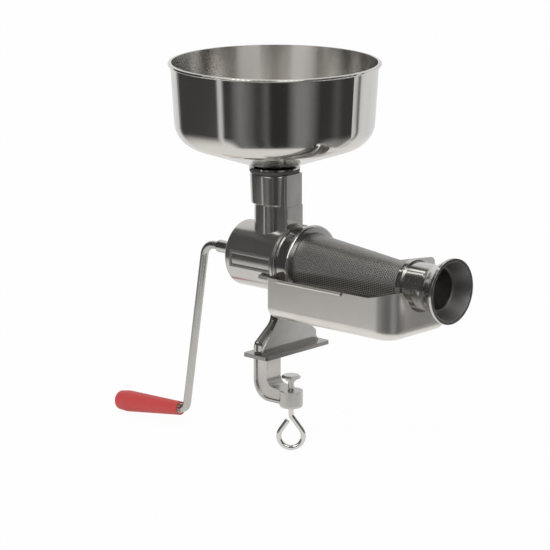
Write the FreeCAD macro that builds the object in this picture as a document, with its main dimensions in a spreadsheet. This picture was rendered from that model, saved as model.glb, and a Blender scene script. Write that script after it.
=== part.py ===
import FreeCAD, Part
import math
import os
import Sketcher

# Hand cranked tomato strainer that clamps to a table edge.
#
# The origin is on the clamp screw's axis, at the jaw face that sits on the table.
# +X runs along the barrel towards the waste outlet, +Y to the juice spout, +Z up.
# "Barrel frame" below means x from the hopper's axis and z from the barrel's axis.

DIMENSIONS = (
    ("axis_height", 108.0, "barrel axis above the table"),
    ("hopper_setback", 25.5, "hopper axis behind the clamp screw axis"),
    ("running_gap", 0.05, "radial clearance of a shaft in its bore"),
    ("loose_gap", 0.3, "clearance between pieces that slide on by hand"),
    ("overrun", 1.0, "how far a cut runs past the surface it opens"),
    ("overlap", 1.0, "how far joined forms reach into each other"),
    # Barrel, neck and front nozzle of the casting.
    ("barrel_radius", 38.4, "barrel outside"),
    ("barrel_wall", 4.0, "barrel wall"),
    ("barrel_back", 44.3, "rear face behind the hopper axis"),
    ("barrel_round", 3.0, "rounding of the rear rim"),
    ("back_wall", 6.0, "thickness of the rear wall"),
    ("bearing_radius", 14.0, "bearing boss inside the rear wall"),
    ("bearing_length", 14.0, "bearing boss and rear wall together"),
    ("flange_radius", 41.3, "ring at the barrel's front edge"),
    ("flange_front", 31.0, "front face of that ring"),
    ("flange_width", 3.0, "width of that ring"),
    ("nozzle_radius", 39.4, "nozzle that carries the tray and the screen"),
    ("nozzle_length", 20.5, "nozzle ahead of the ring"),
    ("neck_radius", 23.3, "lower neck outside"),
    ("collar_radius", 28.7, "neck collar outside"),
    ("collar_taper", 1.6, "how much narrower the collar is at its foot"),
    ("collar_foot", 63.9, "underside of the collar above the barrel axis"),
    ("collar_top", 101.0, "mouth of the neck above the barrel axis"),
    ("collar_round", 3.0, "rounding of the neck's mouth"),
    ("collar_chamfer", 2.0, "chamfer under the collar"),
    ("neck_bore", 20.6, "radius of the bore into the barrel"),
    ("socket_shoulder", 2.0, "shoulder in the socket above the collar's foot"),
    ("front_boss_width", 30.0, "flat pad before the neck"),
    ("front_boss_step", 1.2, "step in the pad at the collar"),
    ("plate_back", 35.5, "rear end of the side plate behind the hopper axis"),
    ("plate_height", 19.5, "height of the side plate"),
    ("plate_frame", 3.0, "width of the side plate's frame"),
    ("plate_proud", 0.4, "side plate proud of the barrel"),
    ("plate_sink", 0.8, "depth of the plate's field"),
    ("lug_length", 20.0, "side lug for the tray"),
    ("lug_height", 4.5, "height of the side lug"),
    ("lug_drop", 12.5, "top of the side lug below the barrel axis"),
    ("lug_reach", 40.6, "side lug's outer face from the barrel axis"),
    # Leg and table clamp of the casting.
    ("leg_front", 1.5, "front of the leg behind the clamp screw axis"),
    ("leg_depth", 11.6, "depth of the leg"),
    ("leg_waist", 20.4, "half width of the leg at its waist"),
    ("leg_head", 25.0, "half width of the leg inside the barrel"),
    ("leg_foot", 49.2, "half width of the leg at its foot"),
    ("leg_toe", 17.3, "top of the leg's upright toe above the table"),
    ("leg_toe_round", 5.0, "rounding of the toe"),
    ("leg_fore_waist", 19.4, "half width of the leg's front rim at its waist"),
    ("leg_fore_waist_height", 43.0, "height of the front rim's waist above the table"),
    ("leg_fore_toe", 6.1, "top of the front rim's toe above the table"),
    ("leg_waist_height", 38.7, "height of the waist above the table"),
    ("leg_sweep", 14.0, "radius of the leg's flare"),
    ("leg_wall", 4.0, "wall of the hollow leg"),
    ("leg_rim", 3.0, "width of the rims along the leg's sides"),
    ("leg_rim_step", 1.5, "height of those rims"),
    ("jaw_thickness", 4.5, "upper jaw plate"),
    ("jaw_half_width", 55.0, "half width of the upper jaw"),
    ("jaw_back", 25.5, "rear edge of the upper jaw"),
    ("jaw_front", 11.5, "front edge of the upper jaw"),
    ("jaw_corner", 3.0, "corner radius of the upper jaw"),
    ("spine_back", 47.5, "rear of the clamp's spine"),
    ("spine_front", 26.8, "front of the clamp's spine"),
    ("spine_width", 24.0, "width of the spine over its rims"),
    ("spine_top", 5.0, "top of the spine above the table"),
    ("spine_round", 5.0, "rounding of the spine behind the jaw"),
    ("rim_step", 2.0, "height of the spine's rims"),
    ("rim_width", 3.2, "width of the spine's rims"),
    ("arm_top", 43.3, "top of the lower arm at the spine, below the table"),
    ("arm_bottom", 62.5, "underside of the lower arm below the table"),
    ("spine_sweep", 23.0, "outer radius from spine to lower arm"),
    ("spine_throat", 9.0, "inner radius from spine to lower arm"),
    ("boss_radius", 13.7, "threaded boss"),
    ("boss_top", 47.0, "top of the threaded boss and the arm's end below the table"),
    ("boss_bottom", 67.0, "underside of the threaded boss below the table"),
    ("boss_round", 3.0, "rounding under the threaded boss"),
    # Clamp screw, pad and eye.
    ("screw_radius", 3.75, "clamp screw"),
    ("screw_tip_radius", 2.8, "turned tip in the pad"),
    ("screw_tip_length", 6.5, "length of the turned tip"),
    ("screw_end", 70.3, "lower end of the thread below the table"),
    ("wire_radius", 3.15, "wire of the eye"),
    ("eye_radius", 14.2, "centre line of the eye"),
    ("eye_drop", 102.0, "centre of the eye below the table"),
    ("eye_lean", 35.0, "lean of the wire into the eye, degrees"),
    ("eye_bend", 4.0, "bend between shank and eye"),
    ("eye_tail", 2.2, "end of the wire beside the screw axis"),
    ("eye_angle", 41.5, "turn of the eye about the screw axis, degrees"),
    ("pad_top", 28.5, "top of the pad below the table"),
    ("pad_radius", 11.3, "pad"),
    ("pad_edge", 1.0, "rounding of the pad"),
    ("pad_bevel", 2.0, "bevel of the pad"),
    ("pad_height", 7.0, "pad with its socket"),
    ("pad_skin", 2.4, "thickness of the pad above the screw tip"),
    # Hopper.
    ("bowl_sheet", 0.9, "sheet of the bowl"),
    ("bowl_foot", 107.3, "hole in the bowl above the barrel axis"),
    ("bowl_slope", 18.7, "slope of the bowl's floor, degrees"),
    ("bowl_corner_round", 30.0, "rounding of the bowl's corner"),
    ("bowl_radius", 119.0, "bowl at its rim"),
    ("bowl_draft", 5.2, "how much narrower the bowl is where floor and wall lines meet"),
    ("bowl_top", 228.0, "rim above the barrel axis"),
    ("rim_overhang", 3.0, "rolled rim beyond the bowl's wall"),
    ("rim_height", 3.4, "height of the rolled rim"),
    ("rim_round", 1.4, "rounding of the rolled rim"),
    ("spout_sheet", 1.0, "wall of the spout"),
    ("spout_disc_radius", 29.5, "flange below the bowl"),
    ("spout_disc_sheet", 1.6, "thickness of that flange"),
    ("spout_shoulder_radius", 28.0, "shoulder on the seal"),
    ("seal_height", 3.8, "seal between neck and spout"),
    ("seal_radius", 29.0, "seal outside"),
    # Auger and shaft.
    ("shaft_radius", 6.5, "shaft in its bush"),
    ("stub_radius", 5.0, "shaft in the crank hub and the auger"),
    ("bush_wall", 2.0, "wall of the bush"),
    ("bush_flange_radius", 11.5, "flange of the bush"),
    ("bush_flange", 1.5, "thickness of that flange"),
    ("washer_thickness", 1.5, "thrust washer"),
    ("shaft_seal_depth", 2.5, "shaft seal"),
    ("shaft_seal_radius", 10.0, "shaft seal outside"),
    ("shaft_in_auger", 70.0, "shaft end ahead of the hopper axis"),
    ("auger_gap", 0.9, "flight to barrel and screen"),
    ("auger_pitch", 27.0, "pitch of the flight"),
    ("barrel_turns", 3, "turns inside the barrel"),
    ("screen_turns", 5, "turns inside the screen"),
    ("flight_tip", 2.2, "flight thickness at its edge"),
    ("flight_root", 4.5, "flight thickness at the core"),
    ("flight_sink", 1.0, "how deep the flight is rooted in the core"),
    ("core_back_radius", 13.5, "auger core at its back"),
    ("core_radius", 20.5, "auger core at the screen's mouth"),
    ("core_tip_radius", 8.0, "auger core at its tip"),
    ("core_tip", 203.0, "tip of the auger ahead of the hopper axis"),
    # Strainer screen, its collar and the outlet.
    ("collar_sheet", 1.3, "sheet of the screen's collar"),
    ("collar_back", 36.6, "rear edge of the collar"),
    ("collar_lip_radius", 42.2, "turned lip at the rear edge"),
    ("bead_radius", 45.0, "bead that holds the screen"),
    ("bead_back", 53.0, "rear of the bead"),
    ("bead_width", 5.0, "width of the bead"),
    ("bead_round", 2.2, "rounding of the bead"),
    ("screen_sheet", 0.8, "sheet of the screen"),
    ("screen_start", 54.5, "flange of the screen"),
    ("screen_flange_radius", 43.0, "flange of the screen"),
    ("screen_mouth", 36.3, "screen at its large end"),
    ("screen_tip", 21.4, "screen at its small end"),
    ("screen_end", 206.5, "small end ahead of the hopper axis"),
    ("nose_width", 4.0, "ring on the small end"),
    ("nose_radius", 27.3, "ring on the small end, outside"),
    ("outlet_bead_radius", 28.2, "bead behind the outlet tube"),
    ("outlet_bead_width", 3.4, "bead behind the outlet tube"),
    ("outlet_radius", 26.2, "outlet tube outside"),
    ("outlet_throat", 23.6, "outlet tube inside"),
    ("bell_start", 240.0, "start of the flare"),
    ("bell_round", 16.0, "radius of the flare"),
    ("bell_back", 258.5, "rear edge of the mouth"),
    ("bell_front", 262.0, "mouth of the outlet"),
    ("bell_radius", 37.2, "mouth outside"),
    ("mouth_radius", 33.8, "mouth inside"),
    ("throat_step", 243.0, "step inside the mouth"),
    ("throat_step_width", 2.4, "width of that step"),
    # Juice tray.
    ("tray_sheet", 1.0, "sheet of the tray"),
    ("tray_back", 35.0, "rear wall"),
    ("tray_front", 221.0, "front wall"),
    ("tray_half_width", 56.5, "half width of the tray"),
    ("tray_depth", 57.3, "floor below the barrel axis"),
    ("tray_rim", 9.0, "near rim below the barrel axis"),
    ("tray_front_rim", 1.5, "rim at the front corner below the barrel axis"),
    ("tray_rise_start", 187.0, "where the near rim starts to rise"),
    ("tray_rise_end", 217.0, "where the near rim is at its front height"),
    ("tray_far_rim", 2.2, "far rim above the barrel axis"),
    ("tray_corner", 24.0, "front corners"),
    ("tray_back_corner", 8.0, "rear corners"),
    ("tray_bottom_round", 13.0, "rounding of the bottom edge"),
    ("tray_ring_radius", 42.8, "hanger ring of the tray"),
    ("tray_notch_gap", 3.4, "gap round the outlet tube in the front wall"),
    ("tray_notch_flare", 11.0, "widening of the notch at the rim"),
    ("hem_radius", 1.8, "rolled hem on the near rim"),
    ("hem_bore", 1.0, "opening of the rolled hem"),
    ("hem_back", 55.0, "rear end of the hem"),
    ("hem_front", 149.0, "front end of the hem"),
    ("spout_back", 50.0, "rear wall of the juice spout"),
    ("spout_front", 110.0, "front wall of the juice spout"),
    ("spout_reach", 158.5, "end of the juice spout from the barrel axis"),
    ("spout_back_reach", 120.0, "end of the spout's rear wall from the barrel axis"),
    ("spout_slope", 6.2, "fall of the juice spout, degrees"),
    ("spout_corner", 8.0, "rounded corner at the spout's end"),
    # Crank, rod and grip.
    ("hub_radius", 7.5, "crank hub"),
    ("hub_back", 87.0, "outer end of the hub behind the hopper axis"),
    ("hub_round", 1.2, "rounding of the hub's outer end"),
    ("hub_socket", 15.0, "rod's socket in the hub"),
    ("set_screw_radius", 2.5, "set screw in the hub"),
    ("set_screw_back", 56.0, "set screw behind the hopper axis"),
    ("rod_radius", 4.75, "crank rod"),
    ("crank_throw", 208.3, "grip axis below the barrel axis at the lower bend"),
    ("crank_corner", 108.2, "upper corner of the rod behind the hopper axis"),
    ("crank_splay", 8.95, "outward lean of the arm, degrees"),
    ("upper_bend", 16.0, "upper bend of the rod"),
    ("lower_bend", 10.5, "lower bend of the rod"),
    ("grip_tilt", 4.3, "fall of the grip axis, degrees"),
    ("grip_start", 9.5, "grip from the lower corner of the rod"),
    ("grip_length", 101.3, "grip"),
    ("grip_neck_radius", 8.2, "grip at the rod"),
    ("grip_belly", 86.0, "thickest part of the grip from its neck"),
    ("grip_radius", 12.85, "grip at its thickest"),
    ("grip_sweep", 30.0, "radius of the belly along the grip"),
    ("grip_end_round", 4.2, "rounding of the grip's end"),
    ("grip_end_drop", 1.6, "how much narrower the grip is at its end"),
    ("grip_recess_radius", 6.5, "recess in both ends of the grip"),
    ("stop_ring_radius", 6.2, "stop ring on the rod"),
    ("stop_ring_length", 2.6, "stop ring on the rod"),
    ("push_nut_thickness", 1.2, "push nut on the rod's end"),
    ("rod_overhang", 2.0, "rod's end beyond the grip"),
    ("rod_end_round", 2.4, "rounding of the rod's end"),
)


class Size:
    """A length or an angle: its number, and the expression that gives it in the sheet."""

    def __init__(self, value, text):
        self.value = value
        self.text = text

    def joined(self, sign, other, value):
        return Size(value, "({} {} {})".format(self.text, sign, other.text))

    def __add__(self, other):
        other = as_size(other)
        return self.joined("+", other, self.value + other.value)

    def __sub__(self, other):
        other = as_size(other)
        return self.joined("-", other, self.value - other.value)

    def __mul__(self, other):
        other = as_size(other)
        return self.joined("*", other, self.value * other.value)

    def __truediv__(self, other):
        other = as_size(other)
        return self.joined("/", other, self.value / other.value)

    def __radd__(self, other):
        return as_size(other) + self

    def __rsub__(self, other):
        return as_size(other) - self

    def __rmul__(self, other):
        return as_size(other) * self

    def __neg__(self):
        return as_size(0) - self


def as_size(number):
    if isinstance(number, Size):
        return number
    return Size(float(number), repr(float(number)))


def sine(angle):
    return Size(math.sin(math.radians(angle.value)), "sin({})".format(angle.text))


def cosine(angle):
    return Size(math.cos(math.radians(angle.value)), "cos({})".format(angle.text))


def tangent(angle):
    return Size(math.tan(math.radians(angle.value)), "tan({})".format(angle.text))


def arctangent(slope):
    return Size(math.degrees(math.atan(slope.value)), "atan({})".format(slope.text))


class Dimensions:
    """The driving dimensions, one attribute for each alias of the sheet."""


def fill_sheet(doc):
    sheet = doc.addObject("Spreadsheet::Sheet", "Sizes")
    dims = Dimensions()
    for row, (alias, value, meaning) in enumerate(DIMENSIONS, start=1):
        sheet.set("A{}".format(row), meaning)
        sheet.set("B{}".format(row), str(value))
        sheet.setAlias("B{}".format(row), alias)
        setattr(dims, alias, Size(float(value), "Sizes." + alias))
    return dims


doc = FreeCAD.newDocument("TomatoStrainer")
d = fill_sheet(doc)
doc.recompute()


# Sketches.

def origin_plane(body, role):
    for feature in body.Origin.OriginFeatures:
        if feature.Role == role:
            return feature
    raise ValueError(role)


def new_sketch(body, name, role, offset=None):
    """A sketch on one of the body's own planes, moved along the plane's normal."""
    sketch = body.newObject("Sketcher::SketchObject", name)
    sketch.AttachmentSupport = [(origin_plane(body, role), "")]
    sketch.MapMode = "FlatFace"
    if offset is not None:
        sketch.AttachmentOffset = FreeCAD.Placement(
            FreeCAD.Vector(0, 0, offset.value), FreeCAD.Rotation())
        sketch.setExpression("AttachmentOffset.Base.z", offset.text)
    return sketch


def bind(sketch, kind, geometry, point, size):
    """Fix one coordinate of a sketch point to a size, or to an axis where it is nothing."""
    if size.value == 0:
        axis = -2 if kind == "DistanceX" else -1
        sketch.addConstraint(Sketcher.Constraint("PointOnObject", geometry, point, axis))
        return
    index = sketch.addConstraint(
        Sketcher.Constraint(kind, -1, 1, geometry, point, size.value))
    sketch.setExpression("Constraints[{}]".format(index), size.text)


def rounded_corner(before, corner, after, radius):
    """The two tangent points, the centre and the start angle of a rounded corner."""
    back = (before - corner).normalize()
    ahead = (after - corner).normalize()
    half = back.getAngle(ahead) / 2
    reach = radius / math.tan(half)
    middle = (back + ahead).normalize()
    centre = corner + middle * (radius / math.sin(half))
    return corner + back * reach, corner + ahead * reach, centre


def arc_between(start, end, centre, radius):
    """The short arc from start to end, and which of its ends lies at start."""
    first = math.atan2(start.y - centre.y, start.x - centre.x)
    last = math.atan2(end.y - centre.y, end.x - centre.x)
    sweep = (last - first) % (2 * math.pi)
    circle = Part.Circle(centre, FreeCAD.Vector(0, 0, 1), radius)
    if sweep <= math.pi:
        return Part.ArcOfCircle(circle, first, first + sweep), 1
    return Part.ArcOfCircle(circle, last, last + 2 * math.pi - sweep), 2


def draw(sketch, corners, closed=True):
    """Draw an outline or a path through corners (x, y) or, rounded, (x, y, radius)."""
    places = [(as_size(corner[0]), as_size(corner[1])) for corner in corners]
    rounds = [as_size(corner[2]) if len(corner) > 2 else None for corner in corners]
    spots = [FreeCAD.Vector(x.value, y.value, 0) for x, y in places]
    count = len(spots)
    entries, exits, centres = [], [], []
    for index, spot in enumerate(spots):
        if rounds[index] is None:
            entries.append(spot)
            exits.append(spot)
            centres.append(None)
            continue
        entry, leave, centre = rounded_corner(
            spots[index - 1], spot, spots[(index + 1) % count], rounds[index].value)
        entries.append(entry)
        exits.append(leave)
        centres.append(centre)
    lines = []
    for index in range(count if closed else count - 1):
        segment = Part.LineSegment(exits[index], entries[(index + 1) % count])
        lines.append(sketch.addGeometry(segment, False))
    for index, spot in enumerate(spots):
        x, y = places[index]
        before = lines[index - 1] if closed or index > 0 else None
        after = lines[index] if index < len(lines) else None
        if rounds[index] is None:
            if before is not None and after is not None:
                sketch.addConstraint(Sketcher.Constraint("Coincident", before, 2, after, 1))
            line, end = (after, 1) if after is not None else (before, 2)
            bind(sketch, "DistanceX", line, end, x)
            bind(sketch, "DistanceY", line, end, y)
            continue
        arc, start = arc_between(
            entries[index], exits[index], centres[index], rounds[index].value)
        arc_id = sketch.addGeometry(arc, False)
        corner_id = sketch.addGeometry(Part.Point(spot), True)
        sketch.addConstraint([
            Sketcher.Constraint("Tangent", before, 2, arc_id, start),
            Sketcher.Constraint("Tangent", after, 1, arc_id, 3 - start),
            Sketcher.Constraint("PointOnObject", corner_id, 1, before),
            Sketcher.Constraint("PointOnObject", corner_id, 1, after),
        ])
        bind(sketch, "DistanceX", corner_id, 1, x)
        bind(sketch, "DistanceY", corner_id, 1, y)
        radius_id = sketch.addConstraint(
            Sketcher.Constraint("Radius", arc_id, rounds[index].value))
        sketch.setExpression("Constraints[{}]".format(radius_id), rounds[index].text)
    return lines


def outline(body, name, role, corners, offset=None):
    sketch = new_sketch(body, name, role, offset)
    draw(sketch, corners)
    return sketch


def circle_sketch(body, name, role, radius, x=0, y=0, offset=None):
    sketch = new_sketch(body, name, role, offset)
    x, y = as_size(x), as_size(y)
    centre = FreeCAD.Vector(x.value, y.value, 0)
    ring = sketch.addGeometry(
        Part.Circle(centre, FreeCAD.Vector(0, 0, 1), radius.value), False)
    bind(sketch, "DistanceX", ring, 3, x)
    bind(sketch, "DistanceY", ring, 3, y)
    radius_id = sketch.addConstraint(Sketcher.Constraint("Radius", ring, radius.value))
    sketch.setExpression("Constraints[{}]".format(radius_id), radius.text)
    return sketch


# Features.

def place(thing, x=0, y=0, z=0):
    for axis, size in (("x", as_size(x)), ("y", as_size(y)), ("z", as_size(z))):
        if size.value != 0:
            thing.setExpression("Placement.Base." + axis, size.text)
    return thing


def new_body(name):
    return doc.addObject("PartDesign::Body", name)


def barrel_body(name):
    """A body in the barrel frame."""
    return place(new_body(name), x=-d.hopper_setback, z=d.axis_height)


def revolve(body, name, axis, corners):
    """Turn an outline of the XZ plane about the sketch's H_Axis or V_Axis."""
    sketch = outline(body, name + "_outline", "XZ_Plane", corners)
    feature = body.newObject("PartDesign::Revolution", name)
    feature.Profile = sketch
    feature.ReferenceAxis = (sketch, [axis])
    feature.Angle = 360
    return feature


def pad(body, name, sketch, length, side="One side", reverse=False):
    feature = body.newObject("PartDesign::Pad", name)
    feature.Profile = sketch
    feature.SideType = side
    feature.Reversed = reverse
    feature.setExpression("Length", length.text)
    return feature


def pocket(body, name, sketch, length, side="One side", reverse=False):
    """A pocket that is proved to have cut something."""
    doc.recompute()
    before = body.Shape.Volume
    feature = body.newObject("PartDesign::Pocket", name)
    feature.Profile = sketch
    feature.SideType = side
    feature.Reversed = reverse
    feature.setExpression("Length", length.text)
    doc.recompute()
    if not body.Shape.Volume < before:
        raise ValueError(name + " cuts nothing")
    return feature


def turned(name, axis, corners):
    """A body in the barrel frame made of one turned outline."""
    body = barrel_body(name)
    revolve(body, name + "_turning", axis, corners)
    return body


def fuse(name, things):
    joined = doc.addObject("Part::MultiFuse", name)
    joined.Shapes = things
    return joined


def cut(name, base, tool):
    result = doc.addObject("Part::Cut", name)
    result.Base = base
    result.Tool = tool
    return result


def fillet_edges(body, name, radius, wanted):
    """Round the edges of the body's solid that the test picks."""
    doc.recompute()
    base = body.Tip
    picked = ["Edge{}".format(number)
              for number, edge in enumerate(base.Shape.Edges, start=1) if wanted(edge)]
    if not picked:
        raise ValueError(name + " finds no edge")
    feature = body.newObject("PartDesign::Fillet", name)
    feature.Base = (base, picked)
    feature.setExpression("Radius", radius.text)
    return feature


NODES = []


def node(thing, label):
    """Name a finished sub-part after the piece that it is."""
    thing.Label = label
    NODES.append(thing)
    return thing


# Body casting: barrel, neck, nozzle, side plate and lugs.

def casting_barrel():
    nozzle_end = d.flange_front + d.nozzle_length
    return turned("casting_barrel", "H_Axis", [
        (-d.barrel_back, 0),
        (-d.barrel_back, d.barrel_radius, d.barrel_round),
        (d.flange_front - d.flange_width, d.barrel_radius),
        (d.flange_front - d.flange_width, d.flange_radius),
        (d.flange_front, d.flange_radius),
        (d.flange_front, d.nozzle_radius),
        (nozzle_end, d.nozzle_radius),
        (nozzle_end, 0),
    ])


def casting_neck():
    foot_radius = d.collar_radius - d.collar_taper
    return turned("casting_neck", "V_Axis", [
        (0, 0),
        (d.neck_radius, 0),
        (d.neck_radius, d.collar_foot),
        (foot_radius - d.collar_chamfer, d.collar_foot),
        (foot_radius, d.collar_foot + d.collar_chamfer),
        (d.collar_radius, d.collar_top, d.collar_round),
        (0, d.collar_top),
    ])


def casting_front_boss():
    """The flat pad before the neck, with a step at the collar."""
    body = barrel_body("casting_front_boss")
    half = d.front_boss_width / 2
    front = d.flange_front
    edge = d.collar_chamfer
    lower = outline(body, "lower_pad_outline", "XY_Plane", [
        (0, -half), (front, -half, edge), (front, half, edge), (0, half)])
    pad(body, "lower_pad", lower, d.collar_foot)
    front = d.flange_front - d.front_boss_step
    upper = outline(body, "upper_pad_outline", "XY_Plane", [
        (0, -half), (front, -half, edge), (front, half, edge), (0, half)],
        d.collar_foot - d.overlap)
    pad(body, "upper_pad", upper, d.collar_top - d.collar_foot + d.overlap)
    return body


def casting_side_plate():
    """The framed plate on the near side of the barrel. Its field is bare."""
    body = barrel_body("casting_side_plate")
    half = d.plate_height / 2
    back = -d.plate_back
    front = d.flange_front - d.flange_width
    face = d.barrel_radius + d.plate_proud
    plate = outline(body, "plate_outline", "XZ_Plane", [
        (back, -half), (front, -half), (front, half), (back, half)], face)
    pad(body, "plate_pad", plate, face - d.barrel_radius + 2 * d.barrel_wall, reverse=True)
    edge = d.plate_frame
    field = outline(body, "field_outline", "XZ_Plane", [
        (back + edge, edge - half), (front - edge, edge - half),
        (front - edge, half - edge), (back + edge, half - edge)], face)
    pocket(body, "field_pocket", field, d.plate_sink)
    return body


def casting_lugs():
    """Two lugs, one on each side of the barrel, that the tray's wall hooks behind."""
    body = barrel_body("casting_lugs")
    back = d.flange_front - d.lug_length
    sketch = outline(body, "lug_outline", "XZ_Plane", [
        (back, -d.lug_drop - d.lug_height), (d.flange_front, -d.lug_drop - d.lug_height),
        (d.flange_front, -d.lug_drop), (back, -d.lug_drop)])
    pad(body, "lug_pad", sketch, 2 * d.lug_reach, side="Symmetric")
    return body


def casting_cores():
    """What the barrel's bore, the neck's bore and the bearing take out."""
    nozzle_end = d.flange_front + d.nozzle_length
    wall = -d.barrel_back + d.back_wall
    boss = -d.barrel_back + d.bearing_length
    bore = d.barrel_radius - d.barrel_wall
    barrel_core = turned("barrel_core", "H_Axis", [
        (wall, d.bearing_radius),
        (wall, bore),
        (nozzle_end + d.overrun, bore),
        (nozzle_end + d.overrun, 0),
        (boss, 0),
        (boss, d.bearing_radius),
    ])
    socket = d.shoulder
    neck_core = turned("neck_core", "V_Axis", [
        (0, 0),
        (d.neck_bore, 0),
        (d.neck_bore, socket),
        (d.socket_bore, socket),
        (d.socket_bore, d.collar_top + d.overrun),
        (0, d.collar_top + d.overrun),
    ])
    bearing_core = turned("bearing_core", "H_Axis", [
        (-d.barrel_back - d.overrun, 0),
        (-d.barrel_back - d.overrun, d.shaft_seal_radius),
        (-d.barrel_back + d.shaft_seal_depth, d.shaft_seal_radius),
        (-d.barrel_back + d.shaft_seal_depth, d.bush_radius),
        (boss + d.overrun, d.bush_radius),
        (boss + d.overrun, 0),
    ])
    return [barrel_core, neck_core, bearing_core]


# Body casting: leg and table clamp.

def leg_outline(inset, foot):
    """The leg seen along the barrel: a waist that flares to an upright toe."""
    waist = d.leg_waist - inset
    toe = d.leg_foot - inset
    top = d.axis_height - d.barrel_radius + 2 * d.barrel_wall
    head = d.leg_head - inset
    height = d.leg_waist_height - inset / 2
    upright = d.leg_toe - inset / 2
    return [
        (-head, top), (head, top),
        (waist, height, d.leg_sweep), (toe, upright, d.leg_toe_round),
        (toe, foot), (-toe, foot), (-toe, upright, d.leg_toe_round),
        (-waist, height, d.leg_sweep),
    ]


def fore_rim_outline(foot):
    """The leg's front rim, which flares in a straight line."""
    waist = d.leg_fore_waist
    toe = d.leg_foot
    top = d.axis_height - d.barrel_radius + 2 * d.barrel_wall
    return [
        (-waist, top), (waist, top),
        (waist, d.leg_fore_waist_height, d.leg_sweep), (toe, d.leg_fore_toe),
        (toe, foot), (-toe, foot), (-toe, d.leg_fore_toe),
        (-waist, d.leg_fore_waist_height, d.leg_sweep),
    ]


def casting_leg():
    body = new_body("casting_leg")
    front = -d.leg_front
    foot = d.jaw_thickness / 2
    web_depth = d.leg_depth - d.leg_rim
    middle = outline(body, "leg_web_outline", "YZ_Plane",
                     leg_outline(d.leg_rim_step, foot), front - d.leg_rim / 2)
    pad(body, "leg_web", middle, web_depth, reverse=True)
    fore = outline(body, "leg_fore_rim_outline", "YZ_Plane", fore_rim_outline(foot), front)
    pad(body, "leg_fore_rim", fore, d.leg_rim, reverse=True)
    rear = outline(body, "leg_rear_rim_outline", "YZ_Plane",
                   leg_outline(as_size(0), foot), front - d.leg_depth)
    pad(body, "leg_rear_rim", rear, d.leg_rim)
    hollow = outline(body, "leg_hollow_outline", "YZ_Plane",
                     leg_outline(d.leg_rim_step + d.leg_wall, d.jaw_thickness + d.leg_wall),
                     front - d.leg_depth)
    pocket(body, "leg_hollow", hollow, d.leg_depth - d.leg_wall, reverse=True)
    return body


def casting_jaw():
    body = new_body("casting_jaw")
    side = d.jaw_half_width
    corner = d.jaw_corner
    sketch = outline(body, "jaw_outline", "XY_Plane", [
        (-d.jaw_back, -side, corner), (d.jaw_front, -side, corner),
        (d.jaw_front, side, corner), (-d.jaw_back, side, corner)])
    pad(body, "jaw_pad", sketch, d.jaw_thickness)
    return body


def clamp_outline(inset, head):
    """Spine and lower arm seen from the side, all edges moved in by the inset."""
    back = -d.spine_back + inset
    inner = -d.spine_front - inset
    top = d.spine_top - inset
    bottom = -d.arm_bottom + inset
    return [(back, top, d.spine_round - inset)] + head + [
        (inner, -d.arm_top - inset, d.spine_throat + inset),
        (-inset, -d.boss_top - inset),
        (-inset, bottom),
        (back, bottom, d.spine_sweep - inset),
    ]


def casting_clamp():
    body = new_body("casting_clamp")
    nothing = as_size(0)
    tongue = -d.leg_front - d.leg_depth / 2
    head = [(tongue, d.spine_top), (tongue, nothing), (-d.spine_front, nothing)]
    web = outline(body, "clamp_web_outline", "XZ_Plane", clamp_outline(nothing, head))
    pad(body, "clamp_web", web, d.spine_width - 2 * d.rim_step, side="Symmetric")
    rims = new_sketch(body, "clamp_rim_outline", "XZ_Plane")
    draw(rims, clamp_outline(nothing, head))
    inner = -d.spine_front - d.rim_width
    draw(rims, clamp_outline(d.rim_width, [(inner, d.spine_top - d.rim_width)]))
    pad(body, "clamp_rims", rims, d.spine_width, side="Symmetric")
    return body


def casting_boss():
    body = new_body("casting_boss")
    revolve(body, "boss_turning", "V_Axis", [
        (0, -d.boss_bottom),
        (d.boss_radius, -d.boss_bottom, d.boss_round),
        (d.boss_radius, -d.boss_top),
        (0, -d.boss_top),
    ])
    return body


def screw_hole():
    body = new_body("screw_hole")
    hole = d.screw_radius + d.running_gap
    revolve(body, "screw_hole_turning", "V_Axis", [
        (0, -d.boss_bottom - d.overrun), (hole, -d.boss_bottom - d.overrun),
        (hole, -d.boss_top + d.overrun), (0, -d.boss_top + d.overrun)])
    return body


def make_casting():
    d.shoulder = d.collar_foot + d.socket_shoulder
    d.spout_radius = d.collar_radius - d.barrel_wall - d.spout_sheet
    d.socket_bore = d.spout_radius + d.loose_gap
    d.bush_radius = d.shaft_radius + d.running_gap + d.bush_wall
    solid = fuse("casting_solid", [
        casting_barrel(), casting_neck(), casting_front_boss(), casting_side_plate(),
        casting_lugs(), casting_leg(), casting_jaw(), casting_clamp(), casting_boss()])
    cores = fuse("casting_hollows", casting_cores() + [screw_hole()])
    node(cut("casting", solid, cores), "body_casting")


# Hopper with its spout, and the seal on the neck.

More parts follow.
